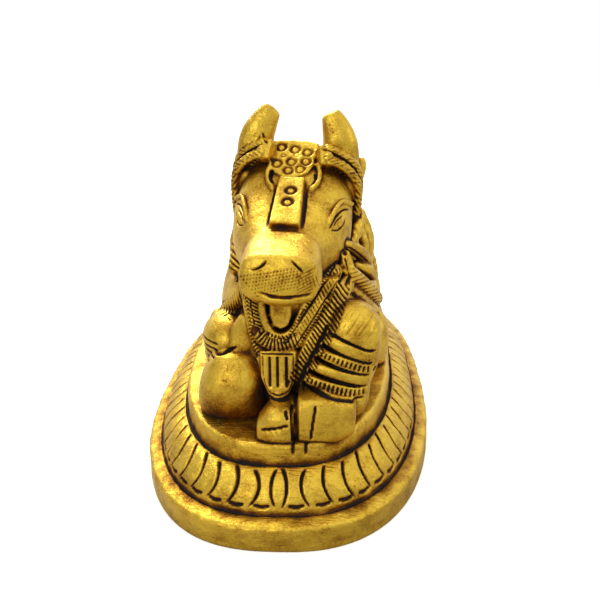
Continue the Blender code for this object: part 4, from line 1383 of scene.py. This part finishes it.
def white_paper():
    """Matt white paper, bright to the camera. The brass mirrors it greyer, as a sheet in its own shade."""
    paper = bpy.data.materials.new("white_paper")
    paper.use_nodes = True
    tree = paper.node_tree
    shader = tree.nodes["Principled BSDF"]
    shader.inputs["Roughness"].default_value = 0.9
    shader.inputs["Emission Color"].default_value = (1, 1, 1, 1)
    straight = add_node(tree, "ShaderNodeLightPath").outputs["Is Camera Ray"]
    tones = {"data_type": "RGBA", 6: linear(PAPER_IN_BRASS), 7: linear(PAPER_WHITE)}
    tone = add_node(tree, "ShaderNodeMix", tones, {"Factor": straight})
    tree.links.new(tone.outputs[2], shader.inputs["Base Color"])
    glow = add_node(tree, "ShaderNodeMath", {"operation": "MULTIPLY", 1: 0.4}, {0: straight})
    tree.links.new(glow.outputs[0], shader.inputs["Emission Strength"])
    return paper


def make_room():
    """A white wall behind the table, darker ones beside it, a softer one in front, and a bright ceiling."""
    room = bpy.data.worlds.new("room")
    room.use_nodes = True
    tree = room.node_tree
    outward = add_node(tree, "ShaderNodeTexCoord").outputs["Generated"]
    toward = add_node(tree, "ShaderNodeSeparateXYZ", {}, {"Vector": outward}).outputs
    from_front = {"operation": "MULTIPLY_ADD", 1: 0.5, 2: 0.5}
    depth = add_node(tree, "ShaderNodeMath", from_front, {0: toward["Y"]})
    wall_tones = [(0.0, grey(0.72)), (0.35, grey(0.42)), (0.62, (0.55, 0.55, 0.56, 1)), (0.85, grey(1))]
    walls = add_node(tree, "ShaderNodeValToRGB", {}, {"Fac": depth.outputs[0]}, wall_tones)
    ceiling_tones = [(0.35, grey(0)), (0.80, grey(1.05))]
    ceiling = add_node(tree, "ShaderNodeValToRGB", {}, {"Fac": toward["Z"]}, ceiling_tones)
    lighter = {"data_type": "RGBA", "blend_type": "LIGHTEN", "Factor": 1.0}
    inside = {6: walls.outputs["Color"], 7: ceiling.outputs["Color"]}
    light = add_node(tree, "ShaderNodeMix", lighter, inside)
    straight = add_node(tree, "ShaderNodeLightPath").outputs["Is Camera Ray"]
    white = {"data_type": "RGBA", 7: (1, 1, 1, 1)}
    seen = add_node(tree, "ShaderNodeMix", white, {"Factor": straight, 6: light.outputs[2]})
    tree.links.new(seen.outputs[2], tree.nodes["Background"].inputs["Color"])
    return room


place_camera()
add_light("key", (-0.10, 0.22, 0.30), 0.16, 1.02)
add_light("front", (-0.14, -0.30, 0.16), 0.16, 0.15)
add_light("side", (0.30, -0.10, 0.14), 0.20, 0.12)

bm = bmesh.new()
bmesh.ops.create_circle(bm, cap_ends=True, segments=96, radius=3.0)
sheet = bpy.data.meshes.new("floor")
bm.to_mesh(sheet)
bm.free()
sheet.materials.append(white_paper())
floor = bpy.data.objects.new("floor", sheet)
bpy.context.scene.collection.objects.link(floor)

bpy.context.scene.world = make_room()
bpy.context.scene.view_settings.view_transform = "Standard"
